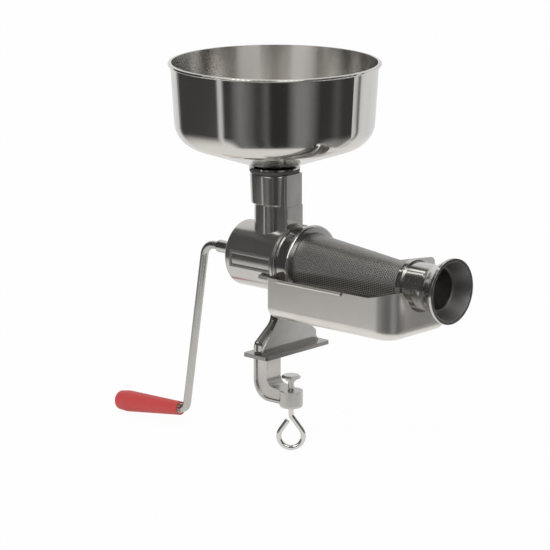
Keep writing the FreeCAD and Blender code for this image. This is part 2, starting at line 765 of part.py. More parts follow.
def make_hopper():
    d.bowl_hole = d.spout_radius - d.spout_sheet
    corner_radius = d.bowl_radius - d.bowl_draft
    rim_radius = d.bowl_radius + d.rim_overhang
    corner = d.bowl_foot + (corner_radius - d.bowl_hole) * tangent(d.bowl_slope)
    sheet = d.bowl_sheet
    lip = d.bowl_top - d.rim_height
    node(turned("bowl", "V_Axis", [
        (d.bowl_hole, d.bowl_foot),
        (corner_radius, corner, d.bowl_corner_round),
        (d.bowl_radius, lip),
        (rim_radius, lip, d.rim_round),
        (rim_radius, d.bowl_top, d.rim_round),
        (d.bowl_radius - sheet, d.bowl_top),
        (corner_radius - sheet, corner + sheet, d.bowl_corner_round - sheet),
        (d.bowl_hole, d.bowl_foot + sheet),
    ]), "hopper_bowl")
    disc = d.bowl_foot - d.spout_disc_sheet
    shoulder = d.collar_top + d.seal_height + d.running_gap
    node(turned("spout", "V_Axis", [
        (d.bowl_hole, d.shoulder + d.loose_gap),
        (d.spout_radius, d.shoulder + d.loose_gap),
        (d.spout_radius, shoulder),
        (d.spout_shoulder_radius, shoulder),
        (d.spout_shoulder_radius, disc),
        (d.spout_disc_radius, disc),
        (d.spout_disc_radius, d.bowl_foot),
        (d.bowl_hole, d.bowl_foot),
    ]), "hopper_spout")
    node(turned("neck_ring", "V_Axis", [
        (d.socket_bore, d.collar_top),
        (d.seal_radius, d.collar_top, d.spout_sheet),
        (d.seal_radius, d.collar_top + d.seal_height, d.spout_sheet),
        (d.socket_bore, d.collar_top + d.seal_height),
    ]), "neck_seal")


# Bearing, shaft and auger.

def make_bearing():
    bore = d.shaft_radius + d.running_gap
    back = -d.barrel_back + d.shaft_seal_depth
    boss = -d.barrel_back + d.bearing_length
    node(turned("bush", "H_Axis", [
        (back, bore), (back, d.bush_radius), (boss, d.bush_radius),
        (boss, d.bush_flange_radius), (boss + d.bush_flange, d.bush_flange_radius),
        (boss + d.bush_flange, bore),
    ]), "shaft_bush")
    node(turned("lip_seal", "H_Axis", [
        (-d.barrel_back, bore), (-d.barrel_back, d.shaft_seal_radius),
        (back, d.shaft_seal_radius), (back, bore),
    ]), "shaft_seal")
    d.washer_back = boss + d.bush_flange + d.running_gap
    d.auger_back = d.washer_back + d.washer_thickness
    node(turned("washer", "H_Axis", [
        (d.washer_back, bore), (d.washer_back, d.bush_flange_radius),
        (d.auger_back, d.bush_flange_radius), (d.auger_back, bore),
    ]), "thrust_washer")


def helix(body, name, corners, turns, taper):
    """One stretch of the flight, wound along +X and narrowing by the taper."""
    sketch = outline(body, name + "_section", "XZ_Plane", corners)
    feature = body.newObject("PartDesign::AdditiveHelix", name)
    feature.Profile = sketch
    feature.ReferenceAxis = (sketch, ["H_Axis"])
    feature.Mode = "pitch-turns-angle"
    feature.LeftHanded = True
    feature.setExpression("Pitch", d.auger_pitch.text)
    feature.setExpression("Turns", turns.text)
    feature.setExpression("Angle", taper.text)
    return feature


def flight_section(x, edge, root):
    """A flight's section: thin at its edge, thick at the core."""
    return [
        (x - d.flight_root / 2, root), (x - d.flight_tip / 2, edge),
        (x + d.flight_tip / 2, edge), (x + d.flight_root / 2, root)]


def make_auger():
    body = barrel_body("screw_conveyor")
    d.flight_start = d.auger_back + d.flight_root
    mouth = d.flight_start + d.barrel_turns * d.auger_pitch
    slope = (d.screen_mouth - d.screen_tip) / (d.screen_end - d.screen_start)
    taper = as_size(-1) * arctangent(slope)
    revolve(body, "auger_core", "H_Axis", [
        (d.auger_back, d.stub_radius),
        (d.auger_back, d.core_back_radius),
        (mouth, d.core_radius),
        (d.core_tip, d.core_tip_radius, d.core_tip_radius / 2),
        (d.core_tip, 0),
        (d.shaft_in_auger, 0),
        (d.shaft_in_auger, d.stub_radius),
    ])
    bore = d.barrel_radius - d.barrel_wall - d.auger_gap
    root = d.core_back_radius - d.flight_sink
    helix(body, "barrel_flight", flight_section(d.flight_start, bore, root),
          d.barrel_turns, as_size(0))
    inside = d.screen_mouth - d.screen_sheet - d.auger_gap
    edge = inside - (mouth + d.flight_root - d.screen_start) * slope
    helix(body, "screen_flight", flight_section(mouth, edge, d.core_radius - d.flight_sink),
          d.screen_turns, taper)
    node(body, "auger")
    back = -d.barrel_back
    rear_end = -d.hub_back + d.hub_socket + d.loose_gap
    node(turned("spindle", "H_Axis", [
        (rear_end, 0), (rear_end, d.stub_radius), (back, d.stub_radius),
        (back, d.shaft_radius), (d.auger_back, d.shaft_radius),
        (d.auger_back, d.stub_radius), (d.shaft_in_auger, d.stub_radius),
        (d.shaft_in_auger, 0),
    ]), "auger_shaft")


# Strainer screen with its collar and nose ring, and the outlet.

def make_screen():
    collar_bore = d.nozzle_radius + d.loose_gap
    collar = collar_bore + d.collar_sheet
    lip = d.collar_back + d.collar_sheet
    bead_front = d.bead_back + d.bead_width
    groove = d.screen_start + d.screen_sheet + d.running_gap
    node(turned("ring_collar", "H_Axis", [
        (d.collar_back, collar_bore),
        (d.collar_back, d.collar_lip_radius),
        (lip, d.collar_lip_radius),
        (lip, collar),
        (d.bead_back, collar),
        (d.bead_back, d.bead_radius, d.bead_round),
        (bead_front, d.bead_radius, d.bead_round),
        (bead_front, d.screen_mouth + d.loose_gap),
        (groove, d.screen_mouth + d.loose_gap),
        (groove, d.screen_flange_radius + d.running_gap),
        (d.screen_start - d.running_gap, d.screen_flange_radius + d.running_gap),
        (d.screen_start - d.running_gap, collar_bore),
    ]), "screen_collar")
    sheet = d.screen_sheet
    start = d.screen_start
    node(turned("screen_cone", "H_Axis", [
        (start, d.screen_mouth - sheet),
        (start, d.screen_flange_radius),
        (start + sheet, d.screen_flange_radius),
        (start + sheet, d.screen_mouth),
        (d.screen_end, d.screen_tip),
        (d.screen_end, d.screen_tip - sheet),
    ]), "strainer_screen")
    slope = (d.screen_mouth - d.screen_tip) / (d.screen_end - start - sheet)
    nose_back = d.screen_end - d.nose_width
    fit = d.running_gap
    node(turned("tip_ring", "H_Axis", [
        (nose_back, d.screen_tip + d.nose_width * slope + fit),
        (nose_back, d.nose_radius),
        (d.screen_end + fit, d.nose_radius),
        (d.screen_end + fit, d.screen_tip + fit),
    ]), "screen_nose_ring")


def make_outlet():
    back = d.screen_end + d.running_gap
    bead = back + d.outlet_bead_width
    node(turned("outlet", "H_Axis", [
        (back, d.outlet_throat),
        (back, d.outlet_bead_radius),
        (bead, d.outlet_bead_radius),
        (bead, d.outlet_radius),
        (d.bell_start, d.outlet_radius, d.bell_round),
        (d.bell_back, d.bell_radius),
        (d.bell_front, d.bell_radius),
        (d.bell_front, d.mouth_radius),
        (d.throat_step, d.outlet_throat + d.throat_step_width),
        (d.throat_step, d.outlet_throat),
    ]), "outlet_cone")


# Juice tray: a sheet box hung on the nozzle, with a spout to the far side.

def at_height(height):
    """A test for edges that lie flat at a height of their own body."""
    def test(edge):
        box = edge.BoundBox
        return abs(box.ZMin - height) < 0.01 and abs(box.ZMax - height) < 0.01
    return test


def tray_block(name, inset, top):
    """The tray's outer or inner form, with rounded corners and bottom edge."""
    body = barrel_body(name)
    back = d.tray_back + inset
    front = d.tray_front - inset
    side = d.tray_half_width - inset
    rear_corner = d.tray_back_corner - inset
    corner = d.tray_corner - inset
    floor = -d.tray_depth + inset
    sketch = outline(body, name + "_plan", "XY_Plane", [
        (back, -side, rear_corner), (front, -side, corner),
        (front, side, corner), (back, side, rear_corner)], floor)
    pad(body, name + "_pad", sketch, top - floor)
    fillet_edges(body, name + "_round", d.tray_bottom_round - inset,
                 at_height(floor.value))
    return body


def tray_spout(name, inset, top, end):
    """The spout's outer or inner form: a channel that falls towards its end."""
    body = barrel_body(name)
    start = d.tray_half_width - d.tray_bottom_round
    fall = (end - start) * tangent(d.spout_slope)
    floor = -d.tray_depth + inset
    if top is None:
        upper_start, upper_end = d.tray_depth, d.tray_depth
    else:
        upper_start, upper_end = top, top - fall
    corners = [(start, upper_start), (start, floor), (end, floor - fall), (end, upper_end)]
    if top is not None:
        corners[3] = corners[3] + (d.spout_corner,)
    middle = (d.spout_back + d.spout_front) / 2
    width = d.spout_front - d.spout_back - 2 * inset
    sketch = outline(body, name + "_side", "YZ_Plane", corners, middle)
    pad(body, name + "_pad", sketch, width, side="Symmetric")
    return body


def near_rim_cut(above):
    """What is cut from the near wall above its rim, which rises at the front corner."""
    body = barrel_body("near_rim_cut")
    back = d.tray_back - d.overrun
    front = d.tray_front + d.overrun
    sketch = outline(body, "near_rim_outline", "XZ_Plane", [
        (back, -d.tray_rim), (d.tray_rise_start, -d.tray_rim),
        (d.tray_rise_end, -d.tray_front_rim), (front, -d.tray_front_rim),
        (front, above), (back, above)])
    pad(body, "near_rim_pad", sketch, d.tray_half_width + d.overrun)
    return body


def spout_mouth_cut():
    """The slanted end of the spout: its rear wall stops short of its front wall."""
    body = barrel_body("spout_mouth_cut")
    back = d.spout_back - d.overrun
    end = d.spout_reach + d.overrun
    sketch = outline(body, "spout_mouth_outline", "XY_Plane", [
        (back, d.spout_back_reach), (d.spout_front, end), (back, end)])
    pad(body, "spout_mouth_pad", sketch, 4 * d.tray_depth, side="Symmetric")
    return body


def tray_notch():
    """The notch round the outlet tube, wider at the near rim."""
    back = d.tray_front - d.tray_corner
    front = d.tray_front + d.overrun
    radius = d.outlet_radius + d.tray_notch_gap
    flare = barrel_body("notch_flare")
    wide = radius + d.tray_notch_flare
    drop = d.tray_notch_flare
    sketch = outline(flare, "notch_flare_outline", "YZ_Plane", [
        (-wide, drop / 2), (-radius, -drop), (radius, -drop), (radius, drop / 2)], back)
    pad(flare, "notch_flare_pad", sketch, front - back)
    return [disc("outlet_hole", radius, back, front), flare]


def disc(name, radius, back, front):
    """A plain disc about the barrel axis."""
    return turned(name, "H_Axis", [(back, 0), (back, radius), (front, radius), (front, 0)])


def make_tray():
    sheet = d.tray_sheet
    nothing = as_size(0)
    outer = fuse("tray_outside", [
        tray_block("tray_form", nothing, d.tray_far_rim),
        tray_spout("spout_form", nothing, d.tray_far_rim, d.spout_reach)])
    above = d.tray_far_rim + d.overrun
    inner = fuse("tray_inside", [
        tray_block("tray_hollow", sheet, above),
        tray_spout("spout_hollow", sheet, None, d.spout_reach + d.overrun),
        near_rim_cut(above), spout_mouth_cut()])
    walls = cut("tray_walls", outer, inner)
    ring = disc("tray_hanger", d.tray_ring_radius, d.tray_back, d.tray_back + sheet)
    hem = barrel_body("tray_hem")
    hem_y = -d.tray_half_width - d.hem_radius + sheet
    hem_z = -d.tray_rim - d.hem_radius
    rolled = circle_sketch(hem, "hem_outline", "YZ_Plane", d.hem_radius,
                           hem_y, hem_z, d.hem_back)
    pad(hem, "hem_pad", rolled, d.hem_front - d.hem_back)
    hollow = circle_sketch(hem, "hem_hollow_outline", "YZ_Plane", d.hem_bore,
                           hem_y, hem_z, d.hem_back)
    pocket(hem, "hem_hollow", hollow, d.hem_front - d.hem_back, reverse=True)
    openings = fuse("tray_openings", [
        disc("nozzle_hole", d.nozzle_radius + d.loose_gap,
             d.flange_front, d.tray_back + 2 * sheet)] + tray_notch())
    joined = fuse("tray_sheet_work", [walls, ring, hem])
    node(cut("tray", joined, openings), "juice_tray")


# Crank: hub, set screw, bent rod, stop ring, washer and grip.

def make_crank_hub():
    inner_end = -d.barrel_back - d.loose_gap
    socket = -d.hub_back + d.hub_socket
    hub = turned("hub", "H_Axis", [
        (-d.hub_back, d.rod_radius),
        (-d.hub_back, d.hub_radius, d.hub_round),
        (inner_end, d.hub_radius),
        (inner_end, d.stub_radius),
        (socket, d.stub_radius),
        (socket, d.rod_radius),
    ])
    hole = circle_sketch(hub, "grub_hole_outline", "XZ_Plane",
                         d.set_screw_radius + d.running_gap, -d.set_screw_back)
    pocket(hub, "grub_hole", hole, d.hub_radius + d.overrun)
    node(hub, "crank_hub")
    screw = barrel_body("grub_screw")
    length = d.hub_radius - d.stub_radius - 2 * d.running_gap
    grub = circle_sketch(screw, "grub_outline", "XZ_Plane", d.set_screw_radius,
                         -d.set_screw_back, 0, -d.hub_radius + d.running_gap)
    pad(screw, "grub_pad", grub, length)
    node(screw, "hub_set_screw")


def make_crank_rod():
    d.lower_corner = d.crank_corner + d.crank_throw * tangent(d.crank_splay)
    d.rod_end = d.grip_start + d.grip_length + d.rod_overhang
    body = barrel_body("bent_rod")
    start = -d.hub_back + d.hub_socket - d.loose_gap
    path = new_sketch(body, "rod_path", "XZ_Plane")
    draw(path, [
        (start, 0),
        (-d.crank_corner, 0, d.upper_bend),
        (-d.lower_corner, -d.crank_throw, d.lower_bend),
        (-d.lower_corner - d.rod_end * cosine(d.grip_tilt),
         -d.crank_throw - d.rod_end * sine(d.grip_tilt)),
    ], closed=False)
    section = circle_sketch(body, "rod_section", "YZ_Plane", d.rod_radius, offset=start)
    doc.recompute()
    pipe = body.newObject("PartDesign::AdditivePipe", "rod_bend")
    pipe.Profile = section
    pipe.Spine = (path, [])
    doc.recompute()
    tip = -d.lower_corner.value - d.rod_end.value * math.cos(
        math.radians(d.grip_tilt.value))
    fillet_edges(body, "rod_end_rounding", d.rod_end_round,
                 lambda edge: abs(edge.BoundBox.Center.x - tip) < 0.5)
    node(body, "crank_rod")


def grip_body(name):
    """A body whose own X axis is the grip's axis, pointing back to the crank arm."""
    body = new_body(name)
    base = FreeCAD.Vector(-d.hopper_setback.value - d.lower_corner.value, 0,
                          d.axis_height.value - d.crank_throw.value)
    turn = FreeCAD.Rotation(FreeCAD.Vector(0, 1, 0), -d.grip_tilt.value)
    body.Placement = FreeCAD.Placement(base, turn)
    return body


def on_grip_axis(name, corners):
    body = grip_body(name)
    revolve(body, name + "_turning", "H_Axis", [
        (-corner[0],) + tuple(corner[1:]) for corner in corners])
    return body


def make_grip():
    start = d.grip_start
    end = start + d.grip_length
    bore = d.rod_radius + d.running_gap
    recess = d.stop_ring_length + 2 * d.running_gap
    node(on_grip_axis("grip", [
        (start, d.grip_recess_radius),
        (start, d.grip_neck_radius),
        (start + d.grip_belly, d.grip_radius, d.grip_sweep),
        (end, d.grip_radius - d.grip_end_drop, d.grip_end_round),
        (end, d.grip_recess_radius),
        (end - recess, d.grip_recess_radius),
        (end - recess, bore),
        (start + recess, bore),
        (start + recess, d.grip_recess_radius),
    ]), "handle_grip")
    node(on_grip_axis("stop_ring", [
        (start + d.running_gap, d.rod_radius), (start + d.running_gap, d.stop_ring_radius),
        (start + d.running_gap + d.stop_ring_length, d.stop_ring_radius),
        (start + d.running_gap + d.stop_ring_length, d.rod_radius),
    ]), "grip_stop_ring")
    nut = end - recess + d.running_gap
    node(on_grip_axis("push_nut", [
        (nut, d.rod_radius), (nut, d.stop_ring_radius),
        (nut + d.push_nut_thickness, d.stop_ring_radius),
        (nut + d.push_nut_thickness, d.rod_radius),
    ]), "grip_push_nut")


# Table clamp: screw with its eye, and the pad that swivels on its tip.

def draw_eye(sketch):
    """The wire's centre line: down, aside, and once round the eye."""
    neck = d.eye_drop - d.eye_radius / sine(d.eye_lean)
    run_in = d.eye_radius * cosine(d.eye_lean)
    lines = draw(sketch, [
        (0, -d.screw_end + d.overlap),
        (0, -neck, d.eye_bend),
        (run_in, d.eye_radius * sine(d.eye_lean) - d.eye_drop),
    ], closed=False)
    centre = FreeCAD.Vector(0, -d.eye_drop.value, 0)
    circle = Part.Circle(centre, FreeCAD.Vector(0, 0, 1), d.eye_radius.value)
    tail = math.acos(-d.eye_tail.value / d.eye_radius.value)
    lead = math.radians(d.eye_lean.value) + 2 * math.pi
    eye = sketch.addGeometry(Part.ArcOfCircle(circle, tail, lead), False)
    sketch.addConstraint(Sketcher.Constraint("Coincident", lines[-1], 2, eye, 2))
    bind(sketch, "DistanceX", eye, 3, as_size(0))
    bind(sketch, "DistanceY", eye, 3, -d.eye_drop)
    bind(sketch, "DistanceX", eye, 1, -d.eye_tail)


def make_clamp_screw():
    body = new_body("thumb_screw")
    tip = -d.pad_top - d.pad_skin
    neck = tip - d.screw_tip_length
    revolve(body, "screw_turning", "V_Axis", [
        (0, tip), (d.screw_tip_radius, tip), (d.screw_tip_radius, neck),
        (d.screw_radius, neck), (d.screw_radius, -d.screw_end), (0, -d.screw_end)])
    path = new_sketch(body, "eye_path", "XZ_Plane")
    draw_eye(path)
    section = circle_sketch(body, "eye_section", "XY_Plane", d.wire_radius,
                            offset=-d.screw_end + d.overlap)
    doc.recompute()
    pipe = body.newObject("PartDesign::AdditivePipe", "eye_wire")
    pipe.Profile = section
    pipe.Spine = (path, [])
    turn = FreeCAD.Rotation(FreeCAD.Vector(0, 0, 1), d.eye_angle.value)
    body.Placement = FreeCAD.Placement(FreeCAD.Vector(0, 0, 0), turn)
    node(body, "clamp_screw")


def make_pad():
    body = new_body("swivel_pad")
    top = -d.pad_top
    foot = top - d.pad_height
    wide = top - d.pad_skin
    socket = d.screw_tip_radius + d.running_gap
    ceiling = wide + d.running_gap
    revolve(body, "pad_turning", "V_Axis", [
        (0, top), (d.pad_radius - d.pad_bevel, top, d.pad_edge),
        (d.pad_radius, top - d.pad_bevel), (d.pad_radius, wide - d.pad_edge),
        (d.pad_radius / 2, foot + d.pad_bevel), (d.pad_radius / 2, foot),
        (socket, foot), (socket, ceiling), (0, ceiling)])
    node(body, "clamp_pad")


def make_all():
    make_casting()
    make_hopper()
    make_bearing()
    make_auger()
    make_screen()
    make_outlet()
    make_tray()
    make_crank_hub()
    make_crank_rod()
    make_grip()
    make_clamp_screw()
    make_pad()


def export_parts():
    """Check every object and sub-part, then write one STEP file for each sub-part."""
    for thing in doc.Objects:
        if "Invalid" in thing.State or "Error" in thing.State:
            raise ValueError("{} does not recompute".format(thing.Name))
    for thing in NODES:
        if thing.Shape.isNull() or not thing.Shape.isValid():
            raise ValueError("{} has no valid shape".format(thing.Label))
        if len(thing.Shape.Solids) != 1:
            raise ValueError("{} is not one solid".format(thing.Label))
    os.makedirs("parts", exist_ok=True)
    for thing in NODES:
        thing.Shape.exportStep("parts/{}.step".format(thing.Label))


make_all()
doc.recompute()
export_parts()
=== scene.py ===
"""Looks of the hand cranked tomato strainer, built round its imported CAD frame."""

import enum
import logging
import math
from dataclasses import dataclass
from typing import Callable, Optional, Sequence, Union

import bpy
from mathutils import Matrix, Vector


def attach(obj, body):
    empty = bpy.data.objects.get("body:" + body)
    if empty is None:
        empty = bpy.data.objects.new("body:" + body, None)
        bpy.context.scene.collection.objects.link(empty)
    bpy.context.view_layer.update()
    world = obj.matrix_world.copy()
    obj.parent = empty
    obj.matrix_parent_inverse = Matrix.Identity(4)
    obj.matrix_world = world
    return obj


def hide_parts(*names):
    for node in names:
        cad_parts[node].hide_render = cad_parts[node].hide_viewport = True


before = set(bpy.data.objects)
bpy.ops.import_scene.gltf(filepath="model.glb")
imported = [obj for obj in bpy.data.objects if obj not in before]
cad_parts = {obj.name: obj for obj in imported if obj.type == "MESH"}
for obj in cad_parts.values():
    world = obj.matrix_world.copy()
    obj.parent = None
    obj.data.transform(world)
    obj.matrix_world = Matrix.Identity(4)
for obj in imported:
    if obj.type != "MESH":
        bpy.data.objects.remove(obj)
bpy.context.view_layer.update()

LOG = logging.getLogger("strainer")
# In metres: height of the barrel's axis, and how far the hopper's axis stands
# behind the axis of the clamp screw.
AXIS_HEIGHT = 0.108
HOPPER_SETBACK = 0.0255

Number = Union[float, "Channel"]
Point = tuple[float, float, float]
Colour = tuple[float, float, float]
Span = tuple[float, float]


# ---- Shader maths ----


class Channel:
    """One socket of a node tree, with arithmetic that adds Math nodes."""

    def __init__(self, sheet: "NodeSheet", socket: bpy.types.NodeSocket) -> None:
        """Hold the socket and the sheet that it belongs to."""
        self.sheet = sheet
        self.socket = socket

    def _math(self, operation: str, *values: Number) -> "Channel":
        """Add one Math node.

        Args:
            operation: The node's operation.
            values: The inputs, numbers or channels.

        Returns:
            The node's result.
        """
        inputs = dict(enumerate(values))
        return self.sheet.node("ShaderNodeMath", {"operation": operation}, inputs)

    def __add__(self, other: Number) -> "Channel":
        """Sum."""
        return self._math("ADD", self, other)

    def __sub__(self, other: Number) -> "Channel":
        """Difference."""
        return self._math("SUBTRACT", self, other)

    def __rsub__(self, other: Number) -> "Channel":
        """Difference from a number."""
        return self._math("SUBTRACT", other, self)

    def __mul__(self, other: Number) -> "Channel":
        """Product."""
        return self._math("MULTIPLY", self, other)

    def __truediv__(self, other: Number) -> "Channel":
        """Quotient."""
        return self._math("DIVIDE", self, other)

    def fraction(self) -> "Channel":
        """The part after the decimal point."""
        return self._math("FRACT", self)

    def size(self) -> "Channel":
        """Absolute value."""
        return self._math("ABSOLUTE", self)

    def root(self) -> "Channel":
        """Square root."""
        return self._math("SQRT", self)

    def wave(self) -> "Channel":
        """Sine, in radians."""
        return self._math("SINE", self)

    def cowave(self) -> "Channel":
        """Cosine, in radians."""
        return self._math("COSINE", self)

    def low(self, other: Number) -> "Channel":
        """The smaller of two."""
        return self._math("MINIMUM", self, other)

    def high(self, other: Number) -> "Channel":
        """The larger of two."""
        return self._math("MAXIMUM", self, other)

    def angle_to(self, other: Number) -> "Channel":
        """Angle of the point (other, this), in radians."""
        return self._math("ARCTAN2", self, other)

    def ramp(self, low: float, high: float) -> "Channel":
        """Smooth step from 0 at low to 1 at high.

        Args:
            low: Where the step starts.
            high: Where it ends.

        Returns:
            The stepped value.
        """
        settings = {"interpolation_type": "SMOOTHSTEP"}
        return self.sheet.node(
            "ShaderNodeMapRange", settings, {0: self, 1: low, 2: high, 3: 0.0, 4: 1.0}
        )


class NodeSheet:
    """The node tree of one material, with one method that adds any node."""

    def __init__(self, name: str) -> None:
        """Make an empty material.

        Args:
            name: The material's name.
        """
        self.material = bpy.data.materials.new(name)
        self.material.use_nodes = True
        self.tree = self.material.node_tree
        self.tree.nodes.clear()
        self.output = self.tree.nodes.new("ShaderNodeOutputMaterial")

    def node(
        self,
        kind: str,
        settings: Optional[dict] = None,
        inputs: Optional[dict] = None,
        take: Union[int, str] = 0,
    ) -> Channel:
        """Add a node.

        Args:
            kind: The node's type.
            settings: Its properties, set before the sockets. "stops" fills a ramp.
            inputs: Values or channels by socket index or name.
            take: The output that is returned.

        Returns:
            The chosen output as a channel.
        """
        made = self.tree.nodes.new(kind)
        for key, value in (settings or {}).items():
            if key == "stops":
                self._fill_ramp(made.color_ramp, value)
            else:
                setattr(made, key, value)
        for key, value in (inputs or {}).items():
            self.feed(made.inputs[key], value)
        return Channel(self, made.outputs[take])

    @staticmethod
    def _fill_ramp(ramp: bpy.types.ColorRamp, stops: Sequence[tuple]) -> None:
        """Give a ramp its stops.

        Args:
            ramp: The colour ramp.
            stops: Its stops, each (place, grey).
        """
        while len(ramp.elements) < len(stops):
            ramp.elements.new(0.5)
        for element, (place, grey) in zip(ramp.elements, stops):
            element.position = place
            element.color = (grey, grey, grey, 1.0)

    def feed(self, socket: bpy.types.NodeSocket, value: object) -> None:
        """Link a channel to a socket, or set the socket's own value.

        Args:
            socket: The input.
            value: A channel, a number or a colour.
        """
        if isinstance(value, Channel):
            self.tree.links.new(value.socket, socket)
        elif isinstance(value, tuple) and len(value) == 3 and socket.type == "RGBA":
            socket.default_value = (*value, 1.0)
        else:
            socket.default_value = value

    def place(self) -> Channel:
        """Object coordinates, which are row coordinates in metres."""
        return self.node("ShaderNodeTexCoord", take="Object")

    def facing(self) -> Channel:
        """The surface's own normal, in row directions."""
        return self.node("ShaderNodeTexCoord", take="Normal")

    def axes(self, point: Channel) -> tuple[Channel, Channel, Channel]:
        """Split a point into x, y and z.

        Args:
            point: The point.

        Returns:
            Its three values.
        """
        made = self.tree.nodes.new("ShaderNodeSeparateXYZ")
        self.feed(made.inputs[0], point)
        return tuple(Channel(self, made.outputs[index]) for index in range(3))

    def joined(self, x: Number, y: Number, z: Number) -> Channel:
        """A point from three values."""
        return self.node("ShaderNodeCombineXYZ", None, {0: x, 1: y, 2: z})

    def mapped(self, point: Channel, scale: Point) -> Channel:
        """Scale a point with a Mapping node."""
        return self.node("ShaderNodeMapping", None, {"Vector": point, "Scale": scale})

    def noise(self, point: Channel, scale: float, detail: float = 3.0) -> Channel:
        """Noise from 0 to 1."""
        inputs = {"Vector": point, "Scale": scale, "Detail": detail, "Roughness": 0.55}
        return self.node("ShaderNodeTexNoise", None, inputs, "Fac")

    def blend(self, factor: Number, first: object, second: object) -> Channel:
        """Mix two colours.

        Args:
            factor: 0 for the first, 1 for the second.
            first: A colour or a channel.
            second: A colour or a channel.

        Returns:
            The mixed colour.
        """
        settings = {"data_type": "RGBA"}
        return self.node("ShaderNodeMix", settings, {0: factor, 6: first, 7: second}, 2)

    def bumped(
        self, height: Channel, depth: float, under: Optional[Channel] = None
    ) -> Channel:
        """A normal from a height.

        Args:
            height: The relief, from 0 to 1.
            depth: How high 1 is, in metres.
            under: The normal that it is laid on.

        Returns:
            The bent normal.
        """
        inputs = {"Strength": 1.0, "Distance": depth, "Height": height}
        if under is not None:
            inputs["Normal"] = under
        return self.node("ShaderNodeBump", None, inputs)

    def eased(self, radius: float) -> Channel:
        """A normal that rounds sharp edges by a radius, in metres."""
        return self.node("ShaderNodeBevel", {"samples": 4}, {"Radius": radius})

    def principled(self, **sockets: object) -> Channel:
        """Add a Principled shader.

        Args:
            sockets: Values or channels by socket name, with _ for a space.

        Returns:
            The shader.
        """
        inputs = {name.replace("_", " "): value for name, value in sockets.items()}
        return self.node("ShaderNodeBsdfPrincipled", None, inputs)

    def wear(self, shader: Channel) -> bpy.types.Material:
        """Give the material its shader and hand it over."""
        self.feed(self.output.inputs[0], shader)
        return self.material

    def surface(self, **sockets: object) -> bpy.types.Material:
        """Finish the material with a Principled shader.

        Args:
            sockets: Values or channels by socket name, with _ for a space.

        Returns:
            The finished material.
        """
        return self.wear(self.principled(**sockets))


# ---- Finishes ----


class Turning(enum.Enum):
    """The axis that a piece was turned, spun or rolled round."""

    BARREL = 0
    NECK = 1


def shaded(colour: Colour, share: float) -> Colour:
    """A colour with each part multiplied by a share."""
    return tuple(value * share for value in colour)


def turned_point(
    sheet: NodeSheet, turning: Turning
) -> tuple[Channel, Channel, Channel]:
    """Cylinder coordinates of the surface.

    Args:
        sheet: The material's node sheet.
        turning: The axis.

    Returns:
        Distance along the axis, distance from it, and the angle round it.
    """
    x, y, z = sheet.axes(sheet.place())
    if turning is Turning.BARREL:
        across, up, along = y, z - AXIS_HEIGHT, x
    else:
        across, up, along = x + HOPPER_SETBACK, y, z
    away = (across * across + up * up).root()
    return along, away, across.angle_to(up)


@dataclass(frozen=True)
class TurnedMetal:
    """Spun or turned metal with fine lines that run round its axis.

    Attributes:
        name: The material's name.
        turning: The axis.
        colour: Base colour.
        roughness: Mean roughness.
        spread: How much the roughness varies.
        line_pitch: Width of the lines, in metres.
        line_depth: Depth of the lines, in metres.
        edge: Radius that softens edges, in metres, or 0.
        dull_shaded_inside: Whether the hollow side is left unpolished and given painted
            shade.
        inside_shade_colour: Colour of the painted shade that the hollow side tends to.
    """

    name: str
    turning: Turning
    colour: Colour = (0.66, 0.65, 0.63)
    roughness: float = 0.12
    spread: float = 0.05
    line_pitch: float = 0.0005
    line_depth: float = 0.000002
    edge: float = 0.0
    dull_shaded_inside: bool = False
    inside_shade_colour: Colour = (0.10, 0.095, 0.088)

    def make(self) -> bpy.types.Material:
        """Build the material.

        Returns:
            The finished material.
        """
        sheet = NodeSheet(self.name)
        along, away, angle = turned_point(sheet, self.turning)
        count = 1.0 / self.line_pitch
        track = sheet.joined(along * count, away * count, angle * 0.6)
        lines = sheet.noise(track, 1.0, 2.0)
        smudge = sheet.noise(sheet.place(), 24.0, 4.0)
        rough = smudge * self.spread + lines * self.spread
        rough = rough + (self.roughness - self.spread)
        worn = smudge * 0.6 + lines * 0.2
        tone = sheet.blend(worn, self.colour, shaded(self.colour, 0.82))
        if self.dull_shaded_inside:
            hollow = self._hollow(sheet)
            rough = rough + hollow * (smudge * 0.1 + 0.28)
            # Painted shade: the hollow side is darkened towards a near black; the added
            # roughness above is its unpolished finish.
            tone = sheet.blend(hollow * 0.55, tone, self.inside_shade_colour)
        under = sheet.eased(self.edge) if self.edge else None
        return sheet.surface(
            Base_Color=tone,
            Metallic=1.0,
            Roughness=rough,
            Normal=sheet.bumped(lines, self.line_depth, under),
        )

    def _hollow(self, sheet: NodeSheet) -> Channel:
        """Find the side that faces the barrel's axis.

        Args:
            sheet: The material's node sheet.

        Returns:
            1 on that side, else 0.
        """
        _, y, z = sheet.axes(sheet.place())
        _, ny, nz = sheet.axes(sheet.facing())
        inward = 0.0 - (y * ny + (z - AXIS_HEIGHT) * nz)
        return inward.ramp(0.002, 0.006)


